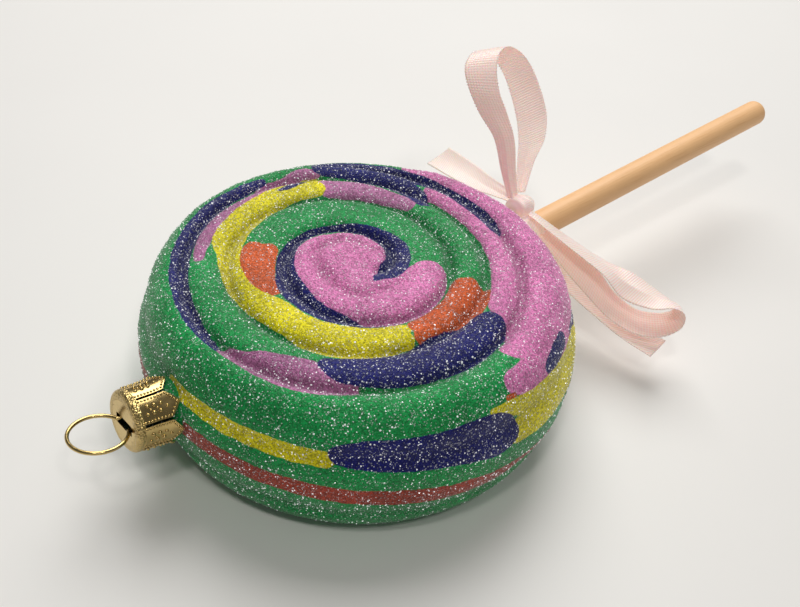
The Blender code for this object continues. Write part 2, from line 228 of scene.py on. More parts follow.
def mottle_group() -> bpy.types.NodeTree:
    """Return the group that varies a colour and a roughness in soft patches."""
    colour_swing, roughness_swing, detail = 4.0, 2.0, 4.0
    graph, given, result = new_tree(
        "mottle", "ShaderNodeTree",
        [("Place", Socket.VECTOR, None), ("Colour", Socket.COLOUR, None), ("Scale", Socket.FLOAT, 200.0),
         ("Amount", Socket.FLOAT, 0.1), ("Roughness", Socket.FLOAT, 0.4)],
        [("Colour", Socket.COLOUR), ("Roughness", Socket.FLOAT), ("Height", Socket.FLOAT)])
    soft = graph.noise(given.outputs["Place"], given.outputs["Scale"], detail)
    swing = graph.times(graph.minus(soft, 0.5), given.outputs["Amount"])
    tone = graph.plus(graph.times(swing, colour_swing), 1.0)
    graph.fill(result, {
        "Colour": graph.tint(given.outputs["Colour"], tone),
        "Roughness": graph.plus(given.outputs["Roughness"], graph.times(swing, roughness_swing)),
        "Height": soft})
    return graph.tree


def painted_group(edge: float, wobble: float) -> bpy.types.NodeTree:
    """Return the group that turns the kept paint edges into one colour.

    At each place the paint with the greatest kept value shows. The grooves are darkened with
    painted shade, and the inside of the neck more deeply, where the kept valley is deep.

    Args:
        edge: Half of the soft edge's width, in millimetres.
        wobble: How far the edge wanders, in millimetres.
    """
    wander_scale, grain_scale, brush_scale = 420.0, 2600.0, 95.0
    brush_tones, groove_shade_tone, neck_shade_tone = (0.82, 1.12), 0.64, 0.08
    graph, given, result = new_tree("painted_colour", "ShaderNodeTree", [("Place", Socket.VECTOR, None)],
                                    [("Colour", Socket.COLOUR)])
    place = given.outputs["Place"]
    wander = graph.minus(graph.noise(place, wander_scale, 3.0), 0.5)
    grain = graph.minus(graph.noise(place, grain_scale, 1.0), 0.5)
    shift = graph.plus(graph.times(wander, 4.0 * wobble), graph.times(grain, wobble))
    colour: object = PAINT_COLOURS[Paint.GREEN]
    top = graph.kept(Paint.GREEN.value)
    for paint in list(Paint)[1:]:
        inside = graph.kept(paint.value)
        gain = graph.plus(graph.minus(inside, top), shift)
        colour = graph.blend(graph.span(gain, -edge, edge), colour, PAINT_COLOURS[paint])
        top = graph.math("MAXIMUM", top, inside)
    valley = graph.kept("valley")
    brushed = graph.span(graph.noise(place, brush_scale, 4.0), 0.3, 0.75, *brush_tones)
    # Painted shade: darker in the grooves by their depth, and nearly black on the neck by the cap and inside
    # its bore.
    groove = graph.span(valley, 0.15, 1.2, 1.0, groove_shade_tone)
    neck_bore_shade = graph.span(valley, 2.0, 5.0, 1.0, neck_shade_tone)
    tone = graph.times(graph.times(brushed, groove), neck_bore_shade)
    graph.fill(result, {"Colour": graph.tint(colour, tone)})
    return graph.tree


def new_material(name: str) -> tuple[bpy.types.Material, Graph, bpy.types.Node]:
    """Return a material, its graph and its Principled shader."""
    material = bpy.data.materials.new(name)
    material.use_nodes = True
    return material, Graph(material.node_tree), material.node_tree.nodes["Principled BSDF"]


def add_bump(graph: Graph, shader: bpy.types.Node, height: bpy.types.NodeSocket, depth: float,
             strength: float) -> None:
    """Give a shader a bump.

    Args:
        graph: The material's graph.
        shader: The shader that takes the normal.
        height: The bump's height, from 0 to 1.
        depth: The height's full size, in millimetres.
        strength: How strongly the bump acts.
    """
    bump = graph.add("ShaderNodeBump", {"Height": height, "Distance": depth * MM, "Strength": strength})
    graph.fill(shader, {"Normal": bump.outputs["Normal"]})


@dataclass(frozen=True)
class Mottled:
    """A finish whose colour and roughness vary in soft patches.

    The bump is its depth in millimetres and its strength.
    """

    mottle: bpy.types.NodeTree
    colour: Colour
    roughness: float
    patch_scale: float
    patch_amount: float
    bump: tuple[float, float] = (0.0, 0.0)

    def varied(self, graph: Graph, shader: bpy.types.Node, colour: object = None) -> bpy.types.Node:
        """Give a shader the varied colour and roughness.

        Args:
            graph: The material's graph.
            shader: The material's shader.
            colour: The colour to vary, where it isn't the finish's own.

        Returns:
            The mottle group's node.
        """
        group = graph.use(self.mottle, Place=graph.place(), Colour=colour or self.colour,
                          Scale=self.patch_scale, Amount=self.patch_amount, Roughness=self.roughness)
        graph.fill(shader, {"Base Color": group.outputs["Colour"], "Roughness": group.outputs["Roughness"]})
        return group


@dataclass(frozen=True)
class GlitterPaint:
    """Hand paint under a coat of fine clear glitter.

    The grains are the fine glitter and the sparkles the coarse one: pale clear flakes whose glint
    is painted, as they glow white. A width is a cell's, in millimetres, and a share is how many of
    the cells show.
    """

    painted: bpy.types.NodeTree
    grain_width: float = 0.30
    grain_share: float = 0.15
    grain_soft: float = 0.02
    grain_reach: tuple[float, float] = (0.6, 0.35)
    grain_tones: tuple[float, float] = (0.62, 1.30)
    grain_white: float = 0.42
    sparkle_width: float = 0.66
    sparkle_share: float = 0.055
    sparkle_soft: float = 0.01
    sparkle_reach: tuple[float, float] = (0.34, 0.22)
    sparkle_smooth: float = 0.3
    sparkle_rise: float = 0.6
    painted_glow: float = 0.22
    patch_scale: float = 160.0
    patch_span: tuple[float, float] = (0.35, 0.7)
    patch_gain: tuple[float, float] = (-0.05, 0.07)
    valley_span: tuple[float, float] = (0.1, 0.8)
    valley_gain: float = 0.05
    roughness: float = 0.45
    bump: tuple[float, float] = (0.16, 0.9)

    @staticmethod
    def chosen(graph: Graph, cells: bpy.types.Node, chance: bpy.types.NodeSocket, share: float, soft: float,
               reach: tuple[float, float]) -> bpy.types.NodeSocket:
        """Return 1 inside the cells that are picked by chance, and 0 elsewhere.

        Args:
            graph: The material's graph.
            cells: The cells.
            chance: Each cell's chance value.
            share: How many of the cells are picked.
            soft: The range of chance over which a cell fades in.
            reach: The distances from a cell's middle where it is gone and where it is full.
        """
        picked = graph.span(chance, 1.0 - share, 1.0 + soft - share)
        return graph.times(picked, graph.span(cells.outputs["Distance"], *reach))

    def material(self, name: str) -> bpy.types.Material:
        """Return the material of the glittered paint.

        Args:
            name: The material's name.

        Returns:
            The material.
        """
        material, graph, shader = new_material(name)
        place = graph.place()
        paint = graph.use(self.painted, Place=place).outputs["Colour"]
        patch = graph.span(graph.noise(place, self.patch_scale), *self.patch_span, *self.patch_gain)
        patch = graph.plus(patch, graph.span(graph.kept("valley"), *self.valley_span, 0.0, self.valley_gain))
        fine, coarse = graph.cells(place, self.grain_width), graph.cells(place, self.sparkle_width)
        fine_chance, coarse_chance = (graph.add("ShaderNodeSeparateColor", {0: cells.outputs["Color"]})
                                      for cells in (fine, coarse))
        grains = self.chosen(graph, fine, graph.plus(fine_chance.outputs[0], patch), self.grain_share,
                             self.grain_soft, self.grain_reach)
        sparkles = self.chosen(graph, coarse, graph.plus(coarse_chance.outputs[0], patch), self.sparkle_share,
                               self.sparkle_soft, self.sparkle_reach)
        grainy = graph.tint(paint, graph.span(fine_chance.outputs[1], 0.0, 1.0, *self.grain_tones))
        dusted = graph.blend(graph.times(grains, self.grain_white), grainy, FROST)
        graph.fill(shader, {
            "Base Color": graph.blend(sparkles, dusted, CLEAR_FLAKE),
            "Roughness": graph.minus(self.roughness, graph.times(sparkles, self.sparkle_smooth)),
            # Painted glint: the sparkle cells glow white.
            "Emission Color": graph.blend(sparkles, BLACK, WHITE),
            "Emission Strength": self.painted_glow,
            "Specular IOR Level": 0.22,
            "Sheen Weight": 0.18,
            "Sheen Roughness": 0.45})
        domes = graph.times(graph.minus(1.0, fine.outputs["Distance"]),
                            graph.plus(fine_chance.outputs[2], 0.25))
        height = graph.plus(domes, graph.times(sparkles, self.sparkle_rise))
        add_bump(graph, shader, height, *self.bump)
        return material


@dataclass(frozen=True)
class GlitterFlake:
    """Loose clear flakes, which take some colour from the paint under them. The flakes of highest
    chance have a painted glint: they glow white.
    """

    painted: bpy.types.NodeTree
    clear: tuple[float, float] = (0.12, 0.98)
    painted_glint_span: tuple[float, float] = (0.72, 0.84)
    roughness: tuple[float, float] = (0.4, 0.16)
    painted_glow: float = 0.45

    def material(self, name: str) -> bpy.types.Material:
        """Return the flakes' material, which reads each flake's chance value."""
        material, graph, shader = new_material(name)
        paint = graph.use(self.painted, Place=graph.place()).outputs["Colour"]
        chance = graph.kept("flake")
        clear = graph.span(chance, 0.25, 1.0, *self.clear)
        graph.fill(shader, {
            "Base Color": graph.blend(clear, paint, CLEAR_FLAKE),
            "Roughness": graph.span(chance, 0.0, 1.0, *self.roughness),
            # Painted glint: the flakes of highest chance glow white.
            "Emission Color": graph.blend(graph.span(chance, *self.painted_glint_span), BLACK, WHITE),
            "Emission Strength": self.painted_glow,
            "Specular IOR Level": 0.8})
        return material


@dataclass(frozen=True)
class GoldLeaf(Mottled):
    """Bright pressed gold-tone metal."""

    colour: Colour = (0.64, 0.47, 0.19, 1.0)
    roughness: float = 0.22
    patch_scale: float = 520.0
    patch_amount: float = 0.07
    bump: tuple[float, float] = (0.12, 0.8)
    patch_rise: float = 0.3
    dent_width: float = 0.42
    stipple: float = 0.0

    def material(self, name: str) -> bpy.types.Material:
        """Return the metal's material, stippled where that is set."""
        material, graph, shader = new_material(name)
        varied = self.varied(graph, shader)
        graph.fill(shader, {"Metallic": 1.0})
        dents = graph.cells(graph.place(), self.dent_width)
        height = graph.plus(graph.times(dents.outputs["Distance"], self.stipple),
                            graph.times(varied.outputs["Height"], self.patch_rise))
        add_bump(graph, shader, height, *self.bump)
        return material


@dataclass(frozen=True)
class PaintedDowel(Mottled):
    """Smooth peach paint through which the wood's grain just shows."""

    colour: Colour = (0.95, 0.57, 0.28, 1.0)
    roughness: float = 0.46
    patch_scale: float = 130.0
    patch_amount: float = 0.03
    bump: tuple[float, float] = (0.03, 0.5)
    grain: Colour = (0.86, 0.47, 0.21, 1.0)
    grain_scale: float = 2300.0
    grain_squeeze: float = 0.045
    grain_share: float = 0.55

    def material(self, name: str) -> bpy.types.Material:
        """Return the stick's material, its grain drawn out along the stick."""
        material, graph, shader = new_material(name)
        stretched = {"Vector": graph.place(), "Scale": (self.grain_squeeze, 1.0, 1.0)}
        drawn = graph.add("ShaderNodeMapping", stretched)
        streaks = graph.noise(drawn.outputs[0], self.grain_scale, 4.0)
        lines = graph.span(streaks, 0.5, 0.72, 0.0, self.grain_share)
        self.varied(graph, shader, graph.blend(lines, self.colour, self.grain))
        add_bump(graph, shader, streaks, *self.bump)
        return material


@dataclass(frozen=True)
class Satin(Mottled):
    """Satin ribbon: fine slanting ribs on the outer face, small dots on the inner face.

    The colour is the outer face's. The widths of a rib and a dot are in millimetres. The ribbon
    glows faintly in its own colour, which is painted light.
    """

    colour: Colour = (0.96, 0.79, 0.735, 1.0)
    roughness: float = 0.34
    patch_scale: float = 170.0
    patch_amount: float = 0.03
    bump: tuple[float, float] = (0.07, 0.7)
    inner: Colour = (0.94, 0.73, 0.67, 1.0)
    line: Colour = (0.62, 0.42, 0.38, 1.0)
    line_share: float = 0.36
    rib: float = 0.56
    dot: float = 0.62
    dot_rise: float = 1.3
    slant: float = 0.42
    painted_glow: float = 0.17

    def material(self, name: str) -> bpy.types.Material:
        """Return the ribbon's material, which reads the places kept on the mesh, in millimetres."""
        material, graph, shader = new_material(name)
        across, along, face = graph.kept("across"), graph.kept("along"), graph.kept("outer")
        slanted = graph.plus(along, graph.times(across, self.slant))
        ribs = graph.math("SINE", graph.times(slanted, math.tau / self.rib))
        rising = graph.math("SINE", graph.times(graph.plus(along, across), math.pi / self.dot))
        falling = graph.math("SINE", graph.times(graph.minus(along, across), math.pi / self.dot))
        dots = graph.times(graph.times(rising, falling), self.dot_rise)
        weave = graph.add("ShaderNodeMix", {0: face, 2: dots, 3: ribs}, data_type="FLOAT")
        height = graph.plus(graph.times(weave.outputs[0], 0.5), 0.5)
        shown = graph.times(graph.span(height, 0.0, 1.0, self.line_share, 0.0), graph.kept("weave"))
        lined = graph.blend(shown, graph.blend(face, self.inner, self.colour), self.line)
        varied = self.varied(graph, shader, lined)
        graph.fill(shader, {
            "Sheen Weight": 0.35,
            "Sheen Roughness": 0.4,
            "Subsurface Weight": 0.35,
            "Subsurface Scale": 1.5 * MM,
            # Painted light: the ribbon glows faintly in its own colour.
            "Emission Color": varied.outputs["Colour"],
            "Emission Strength": self.painted_glow})
        add_bump(graph, shader, height, *self.bump)
        return material


@dataclass(frozen=True)
class PaleTable(Mottled):
    """A pale, slightly glossy table top."""

    colour: Colour = (0.87, 0.855, 0.83, 1.0)
    roughness: float = 0.42
    patch_scale: float = 14.0
    patch_amount: float = 0.012

    def material(self, name: str) -> bpy.types.Material:
        """Return the table's material."""
        material, graph, shader = new_material(name)
        self.varied(graph, shader)
        graph.fill(shader, {"Specular IOR Level": 0.3})
        return material


def add_object(name: str, mesh: bpy.types.Mesh) -> bpy.types.Object:
    """Return a new object at the origin that shows a mesh."""
    piece = bpy.data.objects.new(name, mesh)
    bpy.context.scene.collection.objects.link(piece)
    return piece


def grid_mesh(name: str, points: np.ndarray, closed: bool = False) -> bpy.types.Mesh:
    """Make a mesh from rows of points.

    Args:
        name: The mesh's name.
        points: Points in metres, as rows by columns by three.
        closed: Whether the last column joins the first.

    Returns:
        The mesh, with its faces shaded smooth.
    """
    rows, columns = points.shape[:2]
    index = np.arange(rows * columns).reshape(rows, columns)
    if closed:
        index = np.concatenate([index, index[:, :1]], axis=1)
    corners = np.stack([index[:-1, :-1], index[1:, :-1], index[1:, 1:], index[:-1, 1:]], axis=-1)
    mesh = bpy.data.meshes.new(name)
    mesh.from_pydata(points.reshape(-1, 3).tolist(), [], corners.reshape(-1, 4).tolist())
    mesh.shade_smooth()
    return mesh


@contextmanager
def opened(mesh: bpy.types.Mesh) -> Iterator[bmesh.types.BMesh]:
    """Open a mesh for changes, which are written back at the end."""
    cage = bmesh.new()
    cage.from_mesh(mesh)
    yield cage
    cage.to_mesh(mesh)
    cage.free()


def close_poles(mesh: bpy.types.Mesh, columns: int) -> None:
    """Weld the first and the last row of a closed grid to one point each."""
    with opened(mesh) as cage:
        ends = list(cage.verts)[:columns] + list(cage.verts)[-columns:]
        bmesh.ops.remove_doubles(cage, verts=ends, dist=WELD)
    mesh.shade_smooth()


def keep_values(mesh: bpy.types.Mesh, name: str, values: np.ndarray) -> None:
    """Keep one number for each point of a mesh."""
    kept = mesh.attributes.new(name, "FLOAT", "POINT")
    kept.data.foreach_set("value", np.ascontiguousarray(values, dtype=np.float32))


def keep_weave(mesh: bpy.types.Mesh, across: np.ndarray | float, along: np.ndarray | float,
               weave: float) -> None:
    """Keep what the satin reads on a mesh, with the outer face everywhere.

    Args:
        mesh: The ribbon's mesh.
        across: Places across the ribbon, in millimetres.
        along: Places along it, in millimetres.
        weave: How strongly the weave shows.
    """
    for name, values in (("across", across), ("along", along), ("outer", 1.0), ("weave", weave)):
        keep_values(mesh, name, np.broadcast_to(np.ravel(values), len(mesh.vertices)))


def mesh_points(mesh: bpy.types.Mesh) -> np.ndarray:
    """Return a mesh's points, in metres."""
    points = np.empty(len(mesh.vertices) * 3, dtype=np.float64)
    mesh.vertices.foreach_get("co", points)
    return points.reshape(-1, 3)


def plain_copy(piece: bpy.types.Object) -> bpy.types.Object:
    """Turn an object with live modifiers into a plain one of the same name."""
    bpy.context.view_layer.update()
    graph = bpy.context.evaluated_depsgraph_get()
    mesh = bpy.data.meshes.new_from_object(piece.evaluated_get(graph), depsgraph=graph)
    name = piece.name
    bpy.data.objects.remove(piece, do_unlink=True)
    mesh.name = name
    return add_object(name, mesh)


def smooth_step(low: float, high: float, value: np.ndarray) -> np.ndarray:
    """Return 0 below low, 1 above high, and a smooth rise between."""
    share = np.clip((value - low) / (high - low), 0.0, 1.0)
    return share * share * (3.0 - 2.0 * share)


def curve_through(values: np.ndarray, position: np.ndarray) -> np.ndarray:
    """Read a smooth curve through equally spaced rows.

    Args:
        values: Rows of numbers that the curve passes through.
        position: Places along it, counted in rows.

    Returns:
        The curve's values at those places.
    """
    values = np.asarray(values, dtype=float)
    position = np.asarray(position, dtype=float)
    last = len(values) - 1
    index = np.clip(np.floor(position).astype(int), 0, last - 1)
    part = position - index
    part = part.reshape(part.shape + (1,) * (values.ndim - 1))
    before, start = values[np.maximum(index - 1, 0)], values[index]
    end, after = values[index + 1], values[np.minimum(index + 2, last)]
    bend = (2.0 * start + (end - before) * part
            + (2.0 * before - 5.0 * start + 4.0 * end - after) * part ** 2
            + (3.0 * start - before - 3.0 * end + after) * part ** 3)
    return 0.5 * bend


def wave_noise(points: np.ndarray, period: float, seed: int) -> np.ndarray:
    """Return a soft chance value, mostly from -1 to 1, at each point, from a few crossed waves.

    Args:
        points: The points.
        period: About how far apart the waves' crests are.
        seed: The seed of the draws.
    """
    chance = np.random.default_rng(seed)
    total = np.zeros(len(points))
    waves = 9
    for _ in range(waves):
        turn = chance.normal(size=3)
        turn *= math.tau / (period * np.linalg.norm(turn) * chance.uniform(0.6, 1.6))
        total += np.sin(points @ turn + chance.uniform(0.0, math.tau))
    return total / math.sqrt(waves)


@dataclass(frozen=True)
class Stroke:
    """One stroke of paint, as stations of place and half width in millimetres.

    On a face a place is a turn round the coil from +X and a radius from the coil's middle. On the
    side it is an angle in degrees round the disc and an arc length down from the top's middle.
    """

    paint: Paint
    stations: tuple[Vec, ...]
    side: bool = False


FACE_STROKES: tuple[Stroke, ...] = (
    Stroke(Paint.PINK, ((0.0, 0.5, 9.5), (0.25, 0.5, 9.5))),
    Stroke(Paint.PINK, ((0.30, 5.0, 6.0), (0.40, 5.5, 6.5), (0.50, 7.0, 7.5), (0.60, 9.0, 7.5),
                        (0.68, 11.5, 7.5), (0.74, 13.0, 7.0), (0.80, 14.5, 5.8), (0.84, 15.4, 5.0),
                        (0.872, 16.2, 4.1))),
    Stroke(Paint.ORANGE, ((0.371, 16.4, 2.0), (0.43, 16.8, 2.0), (0.49, 17.6, 1.9))),
    Stroke(Paint.ORANGE, ((0.372, 19.6, 2.2), (0.43, 19.3, 2.0), (0.485, 18.6, 1.6))),
    Stroke(Paint.NAVY, ((-0.235, 7.6, 0.3), (-0.19, 7.4, 1.4), (-0.125, 8.8, 2.8), (-0.06, 10.3, 2.6),
                        (0.0, 11.2, 2.3), (0.0625, 11.5, 2.2), (0.125, 12.0, 2.0), (0.1875, 12.2, 1.7),
                        (0.25, 12.9, 1.4), (0.3125, 12.6, 1.7), (0.375, 12.5, 2.1), (0.4375, 12.8, 2.5),
                        (0.5, 13.9, 3.1), (0.5625, 15.2, 2.7), (0.625, 16.6, 2.1), (0.6875, 18.4, 1.1),
                        (0.73, 19.3, 0.3))),
    # The shaded pink strokes lie in grooves, and their darker tone is painted shade.
    Stroke(Paint.SHADED_PINK, ((0.185, 33.4, 1.0), (0.20, 33.6, 1.6), (0.22, 32.6, 1.7), (0.26, 31.2, 2.0),
                         (0.30, 30.8, 2.0), (0.34, 30.3, 1.9), (0.38, 29.9, 1.5), (0.40, 29.8, 1.0))),
    Stroke(Paint.SHADED_PINK, ((0.066, 24.6, 1.8), (0.10, 25.1, 2.3), (0.13, 26.0, 2.9), (0.16, 27.0, 3.5),
                         (0.185, 27.8, 3.6))),
    Stroke(Paint.YELLOW, ((0.19, 30.7, 1.8), (0.205, 30.6, 1.9), (0.23, 29.3, 1.8), (0.26, 28.0, 1.7))),
    Stroke(Paint.YELLOW, ((0.197, 26.9, 2.6), (0.23, 26.9, 2.7), (0.27, 26.2, 3.1), (0.3125, 25.7, 3.3),
                          (0.36, 25.2, 3.4), (0.385, 24.2, 2.9), (0.42, 23.3, 2.3), (0.46, 22.7, 2.3),
                          (0.49, 22.0, 2.6), (0.53, 20.9, 3.2), (0.57, 21.2, 3.2), (0.61, 22.3, 3.9),
                          (0.64, 23.0, 4.2), (0.68, 23.3, 3.9), (0.71, 22.9, 3.0))),
    Stroke(Paint.YELLOW, ((0.70, 21.6, 1.7), (0.727, 21.7, 1.6))),
    Stroke(Paint.YELLOW, ((0.70, 24.3, 2.0), (0.720, 24.3, 2.0))),
    Stroke(Paint.NAVY, ((0.203, 31.0, 1.1), (0.215, 30.0, 1.2), (0.228, 29.0, 0.9), (0.238, 28.6, 0.4))),
    Stroke(Paint.ORANGE, ((0.750, 22.0, 2.0), (0.80, 22.3, 2.2), (0.845, 22.6, 2.3), (0.862, 22.4, 2.2))),
    Stroke(Paint.ORANGE, ((0.748, 24.6, 2.1), (0.79, 25.4, 2.6), (0.83, 26.4, 2.7), (0.858, 26.8, 2.5))),
    Stroke(Paint.ORANGE, ((0.78, 23.8, 2.6), (0.86, 24.4, 2.9))),
    Stroke(Paint.PINK, ((-0.157, 32.0, 3.0), (-0.12, 31.6, 3.0), (-0.06, 31.8, 3.0), (0.0, 32.3, 3.1),
                        (0.03, 31.8, 2.4), (0.055, 31.8, 2.0))),
    Stroke(Paint.PINK, ((-0.182, 34.6, 2.4), (-0.15, 35.6, 3.5), (-0.08, 36.5, 4.0), (0.0, 36.8, 4.0),
                        (0.05, 37.5, 3.6), (0.09, 39.0, 2.6))),
    Stroke(Paint.PINK, ((-0.200, 38.0, 2.8), (-0.15, 38.8, 3.4), (-0.08, 39.5, 3.6), (0.0, 40.0, 3.8),
                        (0.05, 40.4, 3.6), (0.09, 40.4, 2.6))),
    Stroke(Paint.NAVY, ((0.052, 27.6, 2.1), (0.072, 29.2, 3.0), (0.09, 30.8, 3.2), (0.11, 32.2, 2.8),
                        (0.15, 33.5, 2.1), (0.175, 34.0, 1.6))),
    Stroke(Paint.NAVY, ((-0.030, 34.1, 1.7), (0.0, 34.4, 2.1), (0.03, 34.7, 2.1), (0.06, 34.9, 2.0),
                        (0.10, 34.4, 2.3), (0.14, 35.0, 2.6), (0.178, 35.2, 2.4))),
    Stroke(Paint.NAVY, ((0.055, 35.6, 1.8), (0.10, 36.2, 2.2), (0.15, 36.8, 2.3), (0.18, 37.0, 2.0))),
    Stroke(Paint.NAVY, ((0.245, 34.2, 1.0), (0.27, 34.2, 1.4), (0.3125, 34.3, 1.7), (0.375, 33.8, 2.1),
                        (0.44, 33.7, 2.0), (0.50, 34.2, 1.5), (0.53, 34.4, 1.1))),
    # Shaded pink in the valley by the front: painted shade on the pink.
    Stroke(Paint.SHADED_PINK, ((0.535, 34.2, 1.5), (0.5525, 33.6, 2.3), (0.57, 33.0, 3.0), (0.595, 32.7, 3.6),
                         (0.615, 32.8, 3.7), (0.635, 33.6, 2.8), (0.65, 34.2, 1.9))),
    Stroke(Paint.NAVY, ((0.628, 29.4, 1.6), (0.645, 30.2, 2.8), (0.67, 30.3, 3.6), (0.70, 30.3, 4.3),
                        (0.75, 30.3, 5.1), (0.78, 30.8, 4.9), (0.808, 31.6, 4.2))),
)

SIDE_STROKES: tuple[Stroke, ...] = (
    Stroke(Paint.PINK, ((-82.5, 41.0, 2.4), (-76.0, 42.0, 3.4), (-66.0, 42.4, 3.9), (-45.0, 42.8, 4.0),
                        (-20.0, 43.0, 4.2), (0.0, 43.0, 4.2), (20.0, 42.0, 4.0), (30.0, 41.0, 3.0)), True),
    Stroke(Paint.YELLOW, ((-180.0, 48.7, 1.4), (-165.0, 48.6, 1.7), (-150.0, 48.7, 1.7),
                          (-134.0, 48.9, 1.7)), True),
    Stroke(Paint.YELLOW, ((-92.0, 43.8, 0.6), (-87.0, 45.0, 1.6), (-78.0, 46.6, 2.2), (-60.0, 47.8, 2.2),
                          (-40.0, 48.5, 2.4), (-20.0, 48.8, 2.4), (10.0, 49.0, 2.2)), True),
    Stroke(Paint.YELLOW, ((-84.0, 51.0, 2.6), (-70.0, 51.5, 3.2), (-50.0, 51.8, 3.2), (-20.0, 52.0, 3.0),
                          (8.0, 52.0, 2.4)), True),
    Stroke(Paint.NAVY, ((-131.0, 47.6, 2.1), (-125.0, 47.5, 3.0), (-115.0, 47.8, 3.4), (-105.0, 48.0, 3.8),
                        (-96.0, 48.4, 4.5), (-91.0, 49.2, 4.4), (-87.0, 50.6, 2.4)), True),
    Stroke(Paint.NAVY, ((-69.0, 43.8, 1.2), (-64.0, 43.5, 1.9), (-58.0, 43.2, 1.8)), True),
    Stroke(Paint.NAVY, ((-50.0, 45.5, 1.0), (-44.0, 47.0, 1.6), (-38.0, 49.2, 1.9), (-32.0, 50.8, 2.0),
                        (-26.0, 50.6, 1.9), (-20.0, 49.8, 1.3)), True),
    Stroke(Paint.RED, ((-205.0, 56.5, 2.0), (-190.0, 55.6, 1.9), (-172.0, 55.2, 1.9), (-155.0, 55.7, 1.9),
                       (-132.0, 56.7, 2.0), (-110.0, 58.0, 2.1), (-95.0, 59.6, 2.2), (-80.0, 61.0, 2.2),
                       (-55.0, 62.0, 2.1), (-20.0, 62.0, 2.0), (20.0, 61.0, 2.0), (70.0, 60.0, 2.0),
                       (120.0, 58.0, 2.0), (155.0, 56.5, 2.0)), True),
    Stroke(Paint.ORANGE, ((-86.5, 42.9, 0.5), (-84.0, 43.0, 0.4)), True),
)


@dataclass
class CoilDisc:
    """The blown-glass disc, with its coil pressed in and its paint laid on.

    The groove's numbers are its radii from the coil's middle, a quarter turn apart from the first
    turn on. The inner valley's are places on the face, from its start to its end.
    """

    finish: bpy.types.Material
    dome_height: float = 17.1
    dome_drop: float = 0.9
    dome_radius: float = 35.8
    edge_round: float = 9.2
    rest_cut: float = 0.35
    coil_centre: tuple[float, float] = (-1.9, 1.7)
    first_turn: float = -0.25
    back_turn: float = 0.35
    groove: tuple[float, ...] = (4.5, 10.0, 12.6, 13.4, 18.6, 21.5, 24.0, 24.3, 26.3, 28.8, 32.6, 33.3,
                                 35.0, 35.2, 38.0)
    groove_depth: float = 1.5
    groove_half: float = 1.9
    groove_fade: float = 0.15
    groove_power: float = 1.7
    groove_low: tuple[float, float] = (0.6, 0.9)
    crease_depth: float = 0.60
    crease_half: float = 0.75
    inner_valley: tuple[tuple[float, float], ...] = (
        (5.6, -1.5), (4.9, 1.2), (4.1, 5.5), (1.8, 8.6), (-1.6, 9.5), (-5.0, 8.4), (-7.2, 5.0), (-8.2, 0.1),
        (-7.5, -4.7), (-5.2, -7.7), (-1.3, -8.9), (4.2, -9.3), (8.0, -8.4))
    inner_depth: float = 1.25
    inner_half: float = 1.35
    inner_reach: float = 16.0
    side_height: float = 7.5
    side_depth: float = 0.8
    side_half: float = 2.4
    rim_end: float = math.radians(28.0)
    rim_blend: float = math.radians(9.0)
    rim_proud: float = 0.7
    rim_sunk: float = -0.8
    rim_start: float = 30.0
    steps: int = 520
    fine_ring: float = 0.46
    coarse_ring: float = 1.25
    fine_to: float = 66.0
    paint_limit: float = 3.0
    swells: tuple[tuple[float, int, float], ...] = ((14.0, 11, 0.10), (5.0, 12, 0.05))
    bare_below: float = -14.5
    thin_below: float = -8.0
    thin_share: float = 0.45
    outline: tuple[np.ndarray, ...] = field(init=False)

    def __post_init__(self) -> None:
        """Work out the outline that the other methods read."""
        share = np.linspace(0.0, 1.0, 300)
        rim_height = self.dome_height - self.dome_drop
        edge = np.linspace(0.0, math.pi, 600)[1:-1]
        top = np.stack([self.dome_radius * share, self.dome_height - self.dome_drop * share ** 2])
        side = np.stack([self.dome_radius + self.edge_round * np.sin(edge), rim_height * np.cos(edge)])
        line = np.concatenate([top, side, top[:, ::-1] * np.array([[1.0], [-1.0]])], axis=1)
        arc = np.concatenate([[0.0], np.cumsum(np.hypot(*np.diff(line, axis=1)))])
        slope = np.gradient(line, arc, axis=1)
        self.outline = (arc, line[0], line[1], -slope[1], slope[0])

    @property
    def middle(self) -> float:
        """Height of the disc's middle plane above the floor."""
        return self.dome_height - self.rest_cut

    def coil_relief(self, x: np.ndarray, y: np.ndarray, first: np.ndarray) -> np.ndarray:
        """Return the coil groove's depth at places on a face.

        Args:
            x: Places along the stick.
            y: Places across it.
            first: The turn at which the groove starts, for each place.

        Returns:
            The depths, in millimetres.
        """
        along, aside = x - self.coil_centre[0], y - self.coil_centre[1]
        radius = np.hypot(along, aside)
        angle = np.arctan2(aside, along) / math.tau
        last = self.first_turn + (len(self.groove) - 1) / 4.0
        depth = np.zeros_like(radius)
        for whole in range(-1, len(self.groove) // 4 + 2):
            turn = angle + whole
            quarters = (np.clip(turn, self.first_turn, last) - self.first_turn) * 4.0
            away = np.abs(radius - curve_through(np.array(self.groove), quarters))
            fade = smooth_step(0.0, 1.0, (turn - first) / self.groove_fade)
            fade = fade * (1.0 - smooth_step(last - self.groove_fade, last, turn)) * (turn <= last)
            valley = self.groove_depth * np.exp(-(away / self.groove_half) ** self.groove_power)
            crease = self.crease_depth * np.exp(-(away / self.crease_half) ** 2)
            depth = np.maximum(depth, fade * (valley + crease))
        return depth

    def centre_dent(self, x: np.ndarray, y: np.ndarray) -> np.ndarray:
        """Return the depth of the soft valley inside the coil's middle.

        Args:
            x: Places along the stick.
            y: Places across it.

        Returns:
            The depths, in millimetres.
        """
        shares = np.linspace(0.0, 1.0, 120)
        line = curve_through(np.array(self.inner_valley), shares * (len(self.inner_valley) - 1.0))
        depth = np.zeros(np.shape(x))
        near = np.hypot(x, y) < self.inner_reach
        for share, (along, aside) in zip(shares, line):
            away = np.hypot(x[near] - along, y[near] - aside) / self.inner_half
            depth[near] = np.maximum(depth[near], np.exp(-away ** 2) * math.sin(share * math.pi) ** 0.6)
        return self.inner_depth * depth

    def surface(self, angle: np.ndarray, arc: np.ndarray) -> np.ndarray:
        """Return points of the finished surface, in millimetres above the disc's middle plane."""
        return self.pressed(angle, arc)[0]

